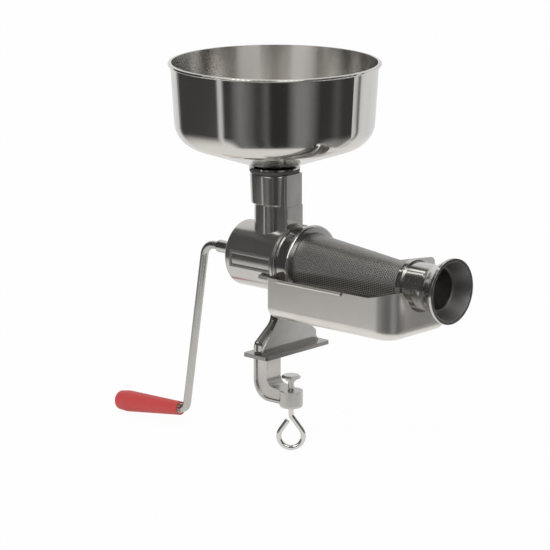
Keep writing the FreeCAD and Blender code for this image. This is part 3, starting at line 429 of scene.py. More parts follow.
@dataclass(frozen=True)
class SpunBowl:
    """Stainless sheet, polished outside and brushed round inside.

    Attributes:
        name: The material's name.
        colour: Base colour.
        outside: Roughness of the polished side.
        inside: Roughness of the brushed side.
        brush_pitch: Width of the brush lines, in metres.
        brush_depth: Their depth, in metres.
        stretch: How far the brushing pulls a highlight out.
        floor_pull: How much a face that looks up counts as inside.
    """

    name: str = "spun_bowl"
    colour: Colour = (0.72, 0.70, 0.67)
    outside: float = 0.10
    inside: float = 0.24
    brush_pitch: float = 0.0007
    brush_depth: float = 0.0000009
    stretch: float = 0.9
    floor_pull: float = 0.06

    def make(self) -> bpy.types.Material:
        """Build the material.

        Returns:
            The finished material.
        """
        sheet = NodeSheet(self.name)
        x, y, _ = sheet.axes(sheet.place())
        nx, ny, nz = sheet.axes(sheet.facing())
        outward = (x + HOPPER_SETBACK) * nx + y * ny - nz * self.floor_pull
        polished = outward.ramp(-0.004, 0.004)
        along, away, angle = turned_point(sheet, Turning.NECK)
        count = 1.0 / self.brush_pitch
        track = sheet.joined(along * count, away * count, angle * 1.2)
        lines = sheet.noise(track, 1.0, 3.0)
        smudge = sheet.noise(sheet.place(), 16.0, 4.0)
        rough_out = smudge * 0.08 + lines * 0.08 + (self.outside - 0.06)
        rough_in = smudge * 0.08 + lines * 0.05 + (self.inside - 0.065)
        rough = rough_in + (rough_out - rough_in) * polished
        worn = smudge * 0.4 + lines * 0.3
        tone = sheet.blend(worn, self.colour, shaded(self.colour, 0.86))
        return sheet.surface(
            Base_Color=tone,
            Metallic=1.0,
            Roughness=rough,
            Anisotropic=self.stretch,
            Anisotropic_Rotation=0.25,
            Normal=sheet.bumped(lines, self.brush_depth),
        )


@dataclass(frozen=True)
class PolishedCasting:
    """Cast aluminium, polished above and left with a cast skin low down.

    Attributes:
        name: The material's name.
        colour: Base colour.
        roughness: Roughness of the polished skin.
        skin_roughness: Roughness of the cast skin.
        metal: Share of the light that the skin mirrors.
        skin_top: Height below which the cast skin shows, in metres.
        edge: Radius that softens edges, in metres.
        waviness: Depth of the polisher's unevenness, in metres.
        web_dark_reflection_colour: Painted dark reflection of the leg's sides and jaw
            plate.
        web_dark_reflection_share: How far they tend to the painted dark reflection.
        leg_foot: Heights over which the leg's sides start, in metres.
        leg_head: Heights over which they end.
        plate_foot: Heights over which the jaw plate starts.
        plate_head: Heights over which it ends.
    """

    name: str = "polished_casting"
    colour: Colour = (0.62, 0.605, 0.58)
    roughness: float = 0.15
    skin_roughness: float = 0.30
    metal: float = 0.95
    skin_top: float = -0.030
    edge: float = 0.0009
    waviness: float = 0.00012
    web_dark_reflection_colour: Colour = (0.20, 0.197, 0.19)
    web_dark_reflection_share: float = 0.7
    leg_foot: Span = (0.005, 0.010)
    leg_head: Span = (0.055, 0.070)
    plate_foot: Span = (-0.004, -0.001)
    plate_head: Span = (0.004, 0.006)

    def make(self) -> bpy.types.Material:
        """Build the material.

        Returns:
            The finished material.
        """
        sheet = NodeSheet(self.name)
        point = sheet.place()
        height = sheet.axes(point)[2]
        skin = 1.0 - height.ramp(self.skin_top - 0.02, self.skin_top + 0.01)
        slow = sheet.noise(point, 22.0, 2.0)
        smudge = sheet.noise(point, 40.0, 5.0)
        grain = sheet.noise(point, 900.0, 2.0)
        pores = sheet.node(
            "ShaderNodeTexVoronoi", None, {"Vector": point, "Scale": 420.0}, "Distance"
        ).ramp(0.05, 0.22)
        pitted = 1.0 - (1.0 - pores) * skin * 0.7
        rough = smudge * 0.09 + grain * skin * 0.12
        rough = rough + skin * (self.skin_roughness - self.roughness)
        rough = rough + (self.roughness - 0.045)
        worn = smudge * 0.7 + (1.0 - pitted) * 0.4
        tone = sheet.blend(worn, self.colour, shaded(self.colour, 0.80))
        # Painted dark reflection: the leg's sideways faces and the jaw plate blend
        # towards a dark grey.
        tone = sheet.blend(self._dark_reflection_webs(sheet) * self.web_dark_reflection_share, tone, self.web_dark_reflection_colour)
        normal = sheet.bumped(slow, self.waviness, sheet.eased(self.edge))
        normal = sheet.bumped(grain * skin + pitted * 2.0, 0.00003, normal)
        return sheet.surface(
            Base_Color=tone, Metallic=self.metal, Roughness=rough, Normal=normal
        )

    def _dark_reflection_webs(self, sheet: NodeSheet) -> Channel:
        """Find the leg's flat sides and the jaw plate, which get a painted dark
        reflection.

        Args:
            sheet: The material's node sheet.

        Returns:
            1 on them, else 0.
        """
        _, across, height = sheet.axes(sheet.place())
        sideways = sheet.axes(sheet.facing())[1].size().ramp(0.6, 0.75)
        slim = 1.0 - across.size().ramp(0.03, 0.04)
        leg = height.ramp(*self.leg_foot) * (1.0 - height.ramp(*self.leg_head))
        plate = height.ramp(*self.plate_foot) * (1.0 - height.ramp(*self.plate_head))
        return (leg * sideways * slim).high(plate)


@dataclass(frozen=True)
class PerforatedCone:
    """Stainless sheet with staggered round holes, rolled into a cone.

    Attributes:
        name: The material's name.
        colour: Base colour.
        worn_colour: Colour where it is worn.
        hole_shade_colour: Painted shade in the holes, for the dark inside seen through
            them.
        metal: Share of the light that the sheet mirrors.
        mouth: Wide end along the barrel axis, in metres.
        tip: Small end along the barrel axis.
        mouth_radius: Radius at the wide end.
        tip_radius: Radius at the small end.
        pitch: From hole to hole.
        hole: Radius of a hole.
        bare_end: Plain width at each end.
        seam: Half the width of the plain seam below.
        fade: Width over which the holes end.
        dimple_depth: How far the sheet sinks at a hole.
    """

    name: str = "perforated_sheet"
    colour: Colour = (0.54, 0.525, 0.50)
    worn_colour: Colour = (0.44, 0.43, 0.41)
    hole_shade_colour: Colour = (0.012, 0.012, 0.012)
    metal: float = 0.92
    mouth: float = 0.029
    tip: float = 0.181
    mouth_radius: float = 0.0363
    tip_radius: float = 0.0214
    pitch: float = 0.0030
    hole: float = 0.00105
    bare_end: float = 0.0035
    seam: float = 0.0025
    fade: float = 0.0002
    dimple_depth: float = 0.00005

    def make(self) -> bpy.types.Material:
        """Build the material.

        Returns:
            The finished material.
        """
        sheet = NodeSheet(self.name)
        along, away, angle = turned_point(sheet, Turning.BARREL)
        slope = math.atan2(self.mouth_radius - self.tip_radius, self.tip - self.mouth)
        reach = away / math.sin(slope)
        turn = angle * math.sin(slope)
        flat_x = reach * turn.cowave()
        flat_y = reach * turn.wave()
        nearest = self._hole_distance(flat_x, flat_y)
        open_hole = 1.0 - nearest.ramp(self.hole * 0.8, self.hole * 1.15)
        dimple = nearest.ramp(self.hole * 0.9, self.hole * 1.5)
        plain = self._plain(along, away, angle)
        holes = open_hole * (1.0 - plain)
        smudge = sheet.noise(sheet.place(), 60.0, 4.0)
        grain = sheet.noise(sheet.mapped(sheet.place(), (60.0, 900.0, 900.0)), 1.0, 2.0)
        lattice = sheet.blend(smudge, self.colour, self.worn_colour)
        height = dimple * (1.0 - plain) + plain
        return sheet.surface(
            # Painted shade: the holes are coloured near black for the shaded inside
            # that shows through them.
            Base_Color=sheet.blend(holes, lattice, self.hole_shade_colour),
            Metallic=(1.0 - holes) * self.metal,
            Roughness=smudge * 0.08 + grain * 0.05 + 0.13 + holes * 0.5,
            Normal=sheet.bumped(height, self.dimple_depth),
        )

    def _hole_distance(self, across: Channel, along: Channel) -> Channel:
        """Distance to the nearest hole of a staggered grid.

        Args:
            across: Place across the rows, in metres.
            along: Place along the rows.

        Returns:
            The distance in metres.
        """
        row = self.pitch * math.sqrt(3.0)
        near = None
        for shift in (0.0, 0.5):
            dx = ((across / row + shift).fraction() - 0.5) * row
            dy = ((along / self.pitch + shift).fraction() - 0.5) * self.pitch
            away = (dx * dx + dy * dy).root()
            near = away if near is None else near.low(away)
        return near

    def _plain(self, along: Channel, away: Channel, angle: Channel) -> Channel:
        """Find the plain ends and the seam.

        Args:
            along: Distance along the barrel's axis, in metres.
            away: Distance from the axis.
            angle: Angle round it, in radians.

        Returns:
            1 on them, else 0.
        """
        start, end = self.mouth + self.bare_end, self.tip - self.bare_end
        first = 1.0 - along.ramp(start, start + self.fade)
        last = along.ramp(end, end + self.fade)
        seam = ((math.pi - angle.size()) * away).ramp(self.seam, self.seam + self.fade)
        return first.high(last).high(1.0 - seam)


@dataclass(frozen=True)
class PressedTray:
    """Deep drawn stainless sheet with a satin polish.

    Attributes:
        name: The material's name.
        colour: Base colour.
        roughness: Mean roughness.
        metal: Share of the light that the surface mirrors.
        waviness: Depth of the drawing marks, in metres.
    """

    name: str = "pressed_tray"
    colour: Colour = (0.83, 0.80, 0.765)
    roughness: float = 0.33
    metal: float = 0.95
    waviness: float = 0.0006

    def make(self) -> bpy.types.Material:
        """Build the material.

        Returns:
            The finished material.
        """
        sheet = NodeSheet(self.name)
        point = sheet.place()
        drawn = sheet.noise(sheet.mapped(point, (26.0, 26.0, 12.0)), 1.0, 0.0)
        fine = sheet.noise(sheet.mapped(point, (240.0, 240.0, 60.0)), 1.0, 0.0)
        cloud = sheet.noise(point, 26.0, 4.0)
        rough = cloud * 0.12 + fine * 0.03 + (self.roughness - 0.075)
        return sheet.surface(
            Base_Color=sheet.blend(cloud * 0.8, self.colour, shaded(self.colour, 0.84)),
            Metallic=self.metal,
            Roughness=rough,
            Normal=sheet.bumped(drawn, self.waviness),
        )


@dataclass(frozen=True)
class PlatedSteel:
    """Zinc plated or satin bar with streaks along its length.

    Attributes:
        name: The material's name.
        colour: Base colour.
        roughness: Mean roughness.
        streak: Direction scale of the streaks, fine across and long along.
        mottle: How much the plating clouds.
        relief: Depth of the clouds, in metres.
    """

    name: str
    colour: Colour = (0.56, 0.55, 0.525)
    roughness: float = 0.3
    streak: Point = (240.0, 240.0, 12.0)
    mottle: float = 0.5
    relief: float = 0.00002

    def make(self) -> bpy.types.Material:
        """Build the material.

        Returns:
            The finished material.
        """
        sheet = NodeSheet(self.name)
        point = sheet.place()
        streaks = sheet.noise(sheet.mapped(point, self.streak), 1.0, 0.0)
        cloud = sheet.noise(point, 60.0, 3.0)
        rough = cloud * 0.10 + streaks * 0.04 + (self.roughness - 0.07)
        worn = cloud * self.mottle + streaks * 0.12
        return sheet.surface(
            Base_Color=sheet.blend(worn, self.colour, shaded(self.colour, 0.80)),
            Metallic=1.0,
            Roughness=rough,
            Normal=sheet.bumped(cloud, self.relief),
        )


@dataclass(frozen=True)
class MouldedPlastic:
    """Injection moulded plastic with a faint parting line.

    Attributes:
        name: The material's name.
        colour: Base colour.
        roughness: Mean roughness.
        seam_width: Half the width of the parting line at y = 0, in metres, or 0.
        seam_depth: How far the parting line stands out, in metres.
        grain_depth: Depth of the mould's grain, in metres.
    """

    name: str
    colour: Colour
    roughness: float = 0.42
    seam_width: float = 0.0
    seam_depth: float = 0.00012
    grain_depth: float = 0.000015

    def make(self) -> bpy.types.Material:
        """Build the material.

        Returns:
            The finished material.
        """
        sheet = NodeSheet(self.name)
        point = sheet.place()
        cloud = sheet.noise(point, 45.0, 4.0)
        grain = sheet.noise(point, 1600.0, 2.0)
        rough = cloud * 0.1 + grain * 0.06 + (self.roughness - 0.08)
        tone = sheet.blend(cloud * 0.9, self.colour, shaded(self.colour, 0.90))
        normal = sheet.bumped(grain, self.grain_depth)
        if self.seam_width:
            off_centre = sheet.axes(point)[1].size()
            seam = 1.0 - off_centre.ramp(self.seam_width * 0.3, self.seam_width)
            normal = sheet.bumped(seam, self.seam_depth, normal)
        return sheet.surface(Base_Color=tone, Roughness=rough, Normal=normal)


@dataclass(frozen=True)
class BlackRubber:
    """Matt moulded rubber with a bloom on its surface.

    Attributes:
        name: The material's name.
        colour: Base colour.
        bloom_colour: Colour of the bloom.
        grain_depth: Depth of the mould's grain, in metres.
    """

    name: str = "black_rubber"
    colour: Colour = (0.075, 0.073, 0.07)
    bloom_colour: Colour = (0.12, 0.118, 0.112)
    grain_depth: float = 0.00003

    def make(self) -> bpy.types.Material:
        """Build the material.

        Returns:
            The finished material.
        """
        sheet = NodeSheet(self.name)
        point = sheet.place()
        bloom = sheet.noise(point, 120.0, 5.0)
        grain = sheet.noise(point, 2200.0, 2.0)
        return sheet.surface(
            Base_Color=sheet.blend(bloom * 0.6, self.colour, self.bloom_colour),
            Roughness=bloom * 0.2 + 0.55,
            Normal=sheet.bumped(grain, self.grain_depth),
        )


def dress(node: str, material: bpy.types.Material) -> None:
    """Give a CAD node its finish.

    Args:
        node: The node's name.
        material: Its finish.
    """
    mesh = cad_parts[node].data
    mesh.materials.clear()
    mesh.materials.append(material)
    LOG.info("%s: %s", node, material.name)


# ---- Mesh tools ----


def start_piece(name: str) -> bpy.types.Object:
    """Name the primitive that was just added and open it for shaping.

    Args:
        name: The piece's name.

    Returns:
        The object at the origin, in edit mode with its whole mesh selected.
    """
    piece = bpy.context.object
    piece.name = piece.data.name = name
    bpy.ops.object.transform_apply(location=True, rotation=True, scale=True)
    bpy.ops.object.mode_set(mode="EDIT")
    bpy.ops.mesh.select_all(action="SELECT")
    return piece


def settle(piece: bpy.types.Object, smooth_angle: float = 35.0) -> None:
    """End the shaping: merge doubles, turn the faces out and shade the piece.

    Args:
        piece: The object.
        smooth_angle: Edges flatter than this are shaded smooth, in degrees.
    """
    bpy.ops.object.mode_set(mode="EDIT")
    bpy.ops.mesh.select_all(action="SELECT")
    bpy.ops.mesh.remove_doubles(threshold=1e-6)
    bpy.ops.mesh.normals_make_consistent(inside=False)
    bpy.ops.object.mode_set(mode="OBJECT")
    bpy.ops.object.select_all(action="DESELECT")
    piece.select_set(True)
    bpy.context.view_layer.objects.active = piece
    bpy.ops.object.shade_smooth_by_angle(angle=math.radians(smooth_angle))


def push(offset: Sequence[float]) -> None:
    """Extrude what is selected by an offset, in metres."""
    bpy.ops.mesh.extrude_region_move(TRANSFORM_OT_translate={"value": tuple(offset)})


def pinch(shares: Point, centre: Sequence[float]) -> None:
    """Scale what is selected about a point, by a share along each axis."""
    bpy.ops.transform.resize(value=shares, center_override=tuple(centre))


def pick_edges(piece: bpy.types.Object, wanted: Callable[[Vector], bool]) -> None:
    """Select the edges whose middle passes a test, in edit mode.

    Args:
        piece: The object in edit mode.
        wanted: Takes the middle of an edge and says whether it is picked.
    """
    bpy.ops.mesh.select_mode(type="EDGE")
    bpy.ops.mesh.select_all(action="DESELECT")
    bpy.ops.object.mode_set(mode="OBJECT")
    points = piece.data.vertices
    for edge in piece.data.edges:
        first, last = (points[index].co for index in edge.vertices)
        edge.select = wanted((first + last) / 2)
    bpy.ops.object.mode_set(mode="EDIT")


def clear_selection() -> None:
    """Leave edit mode with nothing selected."""
    if bpy.context.object and bpy.context.object.mode != "OBJECT":
        bpy.ops.object.mode_set(mode="OBJECT")
    bpy.ops.object.select_all(action="DESELECT")


# ---- Modelled pieces ----


@dataclass
class SetScrew:
    """Grub screw of the hub, with its socket.

    Attributes:
        finish: Its plating.
        along: Its place along the barrel axis, in metres.
        radius: Radius of the thread.
        inner: Distance of its point from the shaft's axis.
        outer: Distance of its socket end from the shaft's axis.
        chamfer: Width of the bevel on both ends.
        socket: Corner radius of the six sided socket.
        depth: Depth of the socket.
    """

    finish: PlatedSteel
    along: float = -0.0815
    radius: float = 0.0025
    inner: float = 0.00506
    outer: float = 0.00744
    chamfer: float = 0.0003
    socket: float = 0.0014
    depth: float = 0.0014

    def build(self) -> None:
        """Turn the screw, bevel its ends, cut the socket and put it on the crank."""
        self._add_bar(32, self.radius, self.inner, self.outer)
        screw = start_piece("hub_socket_screw")
        pick_edges(screw, self._is_rim)
        bpy.ops.mesh.bevel(offset=self.chamfer, segments=2)
        settle(screw)
        self._add_bar(6, self.socket, self.outer - self.depth, self.outer + self.depth)
        hexagon = bpy.context.object
        cut = screw.modifiers.new("socket", "BOOLEAN")
        cut.operation = "DIFFERENCE"
        cut.object = hexagon
        bpy.context.view_layer.objects.active = screw
        bpy.ops.object.modifier_apply(modifier="socket")
        bpy.data.objects.remove(hexagon)
        screw.data.materials.append(self.finish.make())
        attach(screw, "crank")
        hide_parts("hub_set_screw")
        LOG.info("hub_socket_screw: %d faces", len(screw.data.polygons))

    def _add_bar(self, sides: int, radius: float, start: float, end: float) -> None:
        """Add a bar round the screw's own axis.

        Args:
            sides: Number of sides.
            radius: Corner radius.
            start: Distance of one end from the shaft's axis.
            end: Distance of the other end.
        """
        clear_selection()
        bpy.ops.mesh.primitive_cylinder_add(
            vertices=sides, radius=radius, depth=end - start,
            location=(self.along, (start + end) / 2, AXIS_HEIGHT),
            rotation=(math.radians(-90.0), 0.0, 0.0),
        )

    def _is_rim(self, middle: Vector) -> bool:
        """Tell the edges on the rims of both ends.

        Args:
            middle: The middle of an edge.

        Returns:
            Whether the edge is one of them.
        """
        away = math.hypot(middle.x - self.along, middle.z - AXIS_HEIGHT)
        at_end = min(abs(middle.y - self.inner), abs(middle.y - self.outer)) < 1e-5
        return at_end and away > self.radius * 0.9


@dataclass
class ThumbScrew:
    """Clamp screw with its thread, bent to an eye below.

    Attributes:
        finish: Its plating.
        tip: Height of its upper end, in metres.
        neck: Height where the core narrows to the tip.
        tip_radius: Radius of the tip in the pad.
        tip_steps: Shares of the tip that its shoulder, pin and chamfer take.
        tip_end: Radius at the very end, as a share.
        root: Radius at the thread's root.
        crest: Radius at its crest.
        pitch: Pitch of the thread.
        root_half: Half the ridge's width at its root, in pitches.
        crest_half: Half its width at the crest, in pitches.
        run_out: Plain length above the thread.
        sunk: How far the ridge reaches into the core.
        shank_end: Lower end of the thread.
        wire: Radius of the wire.
        wire_reach: How far the wire reaches up into the core.
        eye_radius: Centre line of the eye.
        eye_height: Height of the eye's centre.
        lean: Lean of the wire into the eye, in degrees.
        bend: Bend between shank and eye.
        sweep: How far the wire goes round, in degrees.
        tail: Straight end of the wire.
        blunt: Length of its chamfer.
        blunt_share: Radius at the wire's end, as a share.
        turn: Turn of the eye about the screw, in degrees.
    """

    finish: PlatedSteel
    tip: float = -0.0310
    neck: float = -0.0345
    tip_radius: float = 0.0026
    tip_steps: Point = (0.15, 0.75, 0.10)
    tip_end: float = 0.85
    root: float = 0.00318
    crest: float = 0.00372
    pitch: float = 0.00125
    root_half: float = 0.44
    crest_half: float = 0.07
    run_out: float = 0.001
    sunk: float = 0.0003
    shank_end: float = -0.0695
    wire: float = 0.00312
    wire_reach: float = 0.0012
    eye_radius: float = 0.0142
    eye_height: float = -0.1020
    lean: float = 35.0
    bend: float = 0.0040
    sweep: float = 250.0
    tail: float = 0.0135
    blunt: float = 0.0006
    blunt_share: float = 0.82
    turn: float = 41.5

    def build(self) -> None:
        """Shape shank, thread and eye, join them and put them on the clamp."""
        parts = [self._shank(), self._thread(), self._eye()]
        clear_selection()
        for part in parts:
            part.select_set(True)
        screw = parts[0]
        bpy.context.view_layer.objects.active = screw
        bpy.ops.object.join()
        screw.name = screw.data.name = "threaded_eye_screw"
        screw.data.materials.append(self.finish.make())
        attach(screw, "clamp_screw")
        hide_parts("clamp_screw")
        LOG.info("threaded_eye_screw: %d faces", len(screw.data.polygons))

    @staticmethod
    def _add_disc(sides: int, radius: float, height: float) -> None:
        """Add a level disc on the screw's axis.

        Args:
            sides: Number of sides.
            radius: Corner radius.
            height: Its height.
        """
        clear_selection()
        bpy.ops.mesh.primitive_circle_add(
            vertices=sides, radius=radius, fill_type="NGON", location=(0, 0, height)
        )

    def _shank(self) -> bpy.types.Object:
        """Shape the core of the screw with its narrow tip.

        Returns:
            The closed mesh.
        """
        self._add_disc(32, self.root, self.shank_end)
        core = start_piece("screw_core")
        above = self.tip - self.neck
        shoulder, pin, chamfer = (above * step for step in self.tip_steps)
        narrow = self.tip_radius / self.root
        push((0, 0, self.neck - self.shank_end))
        push((0, 0, shoulder))
        pinch((narrow, narrow, 1.0), (0, 0, self.neck))
        push((0, 0, pin))
        push((0, 0, chamfer))
        pinch((self.tip_end, self.tip_end, 1.0), (0, 0, self.tip))
        settle(core)
        return core

    def _thread(self) -> bpy.types.Object:
        """Wind one ridge up the core.

        Returns:
            The closed mesh.
        """
        clear_selection()
        inside = self.root - self.sunk
        profile = ((inside + self.crest) / 2, 0, self.shank_end + self.pitch)
        bpy.ops.mesh.primitive_plane_add(
            size=1.0, location=profile, rotation=(math.radians(90.0), 0, 0)
        )
        ridge = start_piece("screw_ridge")
        pinch((self.crest - inside, 1.0, 2 * self.root_half * self.pitch), profile)
        pick_edges(ridge, self._is_crest)
        pinch((1.0, 1.0, self.crest_half / self.root_half), profile)
        bpy.ops.object.mode_set(mode="OBJECT")
        height = self.neck - self.run_out - self.shank_end
        wind = ridge.modifiers.new("wind", "SCREW")
        wind.axis = "Z"
        wind.angle = 2 * math.pi
        wind.screw_offset = self.pitch
        wind.iterations = int(height / self.pitch) - 1
        wind.steps = wind.render_steps = 28
        bpy.context.view_layer.objects.active = ridge
        bpy.ops.object.modifier_apply(modifier="wind")
        bpy.ops.object.mode_set(mode="EDIT")
        bpy.ops.mesh.select_mode(type="EDGE")
        bpy.ops.mesh.select_all(action="DESELECT")
        bpy.ops.mesh.select_non_manifold()
        bpy.ops.mesh.edge_face_add()
        settle(ridge, 20.0)
        return ridge

    def _is_crest(self, middle: Vector) -> bool:
        """Whether an edge of the ridge's profile is its outer one."""
        return middle.x > (self.root + self.crest) / 2

    def _eye(self) -> bpy.types.Object:
        """Sweep the wire down, round the eye and back to the shank.

        Returns:
            The closed mesh.
        """
        turn, lean = math.radians(self.turn), math.radians(self.lean)
        last = lean - math.radians(self.sweep)
        up = Vector((0, 0, 1))
        out = Vector((math.cos(turn), math.sin(turn), 0))
        side = up.cross(out)
        top = self.shank_end + self.wire_reach
        cut_back = self.bend * math.tan(lean / 2)
        bend_top = self.eye_height + self.eye_radius / math.sin(lean) + cut_back
        self._add_disc(20, self.wire, top)
        eye = start_piece("screw_eye")
        push((0, 0, bend_top - top))
        centre = out * self.bend + up * bend_top
        bpy.ops.mesh.spin(steps=5, angle=lean, center=centre, axis=side)
        ahead = out * math.sin(lean) - up * math.cos(lean)
        push(ahead * (self.eye_radius / math.tan(lean) - cut_back))
        centre = up * self.eye_height
        bpy.ops.mesh.spin(steps=44, angle=last - lean, center=centre, axis=side)
        ahead = out * math.sin(last) - up * math.cos(last)
        push(ahead * (self.tail - self.blunt))
        push(ahead * self.blunt)
        spoke = out * math.cos(last) + up * math.sin(last)
        end = centre + spoke * self.eye_radius + ahead * self.tail
        pinch((self.blunt_share,) * 3, end)
        settle(eye)
        return eye


# ---- Sub-assemblies ----


@dataclass
class Casting:
    """Barrel, neck, leg and clamp frame in one casting."""

    finish: PolishedCasting = PolishedCasting()

    def build(self) -> None:
        """Dress the casting."""
        dress("body_casting", self.finish.make())


@dataclass
class Hopper:
    """Bowl, its spout and the seal that it stands on."""

    bowl: SpunBowl = SpunBowl()
    spout: TurnedMetal = TurnedMetal("turned_spout", Turning.NECK, roughness=0.1)
    seal: BlackRubber = BlackRubber()

    def build(self) -> None:
        """Dress the hopper."""
        dress("hopper_bowl", self.bowl.make())
        dress("hopper_spout", self.spout.make())
        dress("neck_seal", self.seal.make())


@dataclass
class Bearing:
    """Bush, seal and washer on the crank side of the barrel."""

    plastic: MouldedPlastic = MouldedPlastic("natural_nylon", (0.72, 0.70, 0.63), 0.48)
    seal: BlackRubber = BlackRubber("seal_rubber")

    def build(self) -> None:
        """Dress the bearing."""
        nylon = self.plastic.make()
        dress("shaft_bush", nylon)
        dress("thrust_washer", nylon)
        dress("shaft_seal", self.seal.make())


@dataclass
class Conveyor:
    """The auger and the steel shaft moulded into it."""

    flight: MouldedPlastic = MouldedPlastic("auger_nylon", (0.76, 0.74, 0.68), 0.4)
    shaft: TurnedMetal = TurnedMetal("turned_shaft", Turning.BARREL, roughness=0.22)

    def build(self) -> None:
        """Dress the auger and shaft."""
        dress("auger", self.flight.make())
        dress("auger_shaft", self.shaft.make())


@dataclass
class Strainer:
    """The conical screen with its collar and end ring."""

    sheet: PerforatedCone = PerforatedCone()
    ring: TurnedMetal = TurnedMetal(
        "turned_ring", Turning.BARREL, roughness=0.09, line_depth=0.000001, edge=0.0006
    )

    def build(self) -> None:
        """Dress the screen."""
        bright = self.ring.make()
        dress("strainer_screen", self.sheet.make())
        dress("screen_collar", bright)
        dress("screen_nose_ring", bright)


@dataclass
class Outlet:
    """The flared outlet for skins and seeds."""

    finish: TurnedMetal = TurnedMetal(
        "spun_outlet", Turning.BARREL, colour=(0.64, 0.63, 0.61), roughness=0.15,
        line_depth=0.000001, edge=0.0006, dull_shaded_inside=True,
    )

    def build(self) -> None:
        """Dress the outlet."""
        dress("outlet_cone", self.finish.make())


@dataclass
class Tray:
    """The juice tray under the screen."""

    finish: PressedTray = PressedTray()

    def build(self) -> None:
        """Dress the tray."""
        dress("juice_tray", self.finish.make())


@dataclass
class Crank:
    """Hub, set screw, bent rod and what holds the grip on it."""

    hub: TurnedMetal = TurnedMetal(
        "turned_hub", Turning.BARREL, (0.62, 0.61, 0.59), roughness=0.2, edge=0.0005
    )
    rod: PlatedSteel = PlatedSteel("satin_rod", roughness=0.27)
    small: PlatedSteel = PlatedSteel("plated_small", roughness=0.33)
    screw: PlatedSteel = PlatedSteel("set_screw_steel", (0.30, 0.29, 0.28), 0.35)

    def build(self) -> None:
        """Dress the crank and shape its set screw."""
        small = self.small.make()
        dress("crank_hub", self.hub.make())
        SetScrew(self.screw).build()
        dress("crank_rod", self.rod.make())
        dress("grip_stop_ring", small)
        dress("grip_push_nut", small)


@dataclass
class Grip:
    """The red grip that turns on the rod's end."""

    finish: MouldedPlastic = MouldedPlastic(
        "red_grip", (0.56, 0.058, 0.056), 0.5, seam_width=0.0003
    )

    def build(self) -> None:
        """Dress the grip."""
        dress("handle_grip", self.finish.make())


@dataclass
class Clamp:
    """Screw with its thread and eye, and the pad on its tip."""

    plating: PlatedSteel = PlatedSteel(
        "plated_screw", (0.72, 0.71, 0.69), 0.17, mottle=0.3
    )
    pad: PlatedSteel = PlatedSteel("plated_pad", (0.68, 0.67, 0.65), 0.25)

    def build(self) -> None:
        """Shape the screw and dress the pad."""
        ThumbScrew(self.plating).build()
        dress("clamp_pad", self.pad.make())


# ---- Studio ----


@dataclass(frozen=True)
class Lamp:
    """A soft box that lights what isn't polished.

    Attributes:
        name: Its name.
        place: Where it stands.
        size: Its width.
        power: Its power, in watts.
    """

    name: str
    place: Point
    size: float
    power: float

    def build(self) -> None:
        """Set the lamp up, turned to the object and unseen in reflections."""
        data = bpy.data.lights.new(self.name, "AREA")
        data.size = self.size
        data.energy = self.power
        lamp = bpy.data.objects.new(self.name, data)
        bpy.context.scene.collection.objects.link(lamp)
        lamp.location = self.place
        lamp.rotation_euler = Vector(self.place).to_track_quat("Z", "Y").to_euler()
        lamp.visible_glossy = False


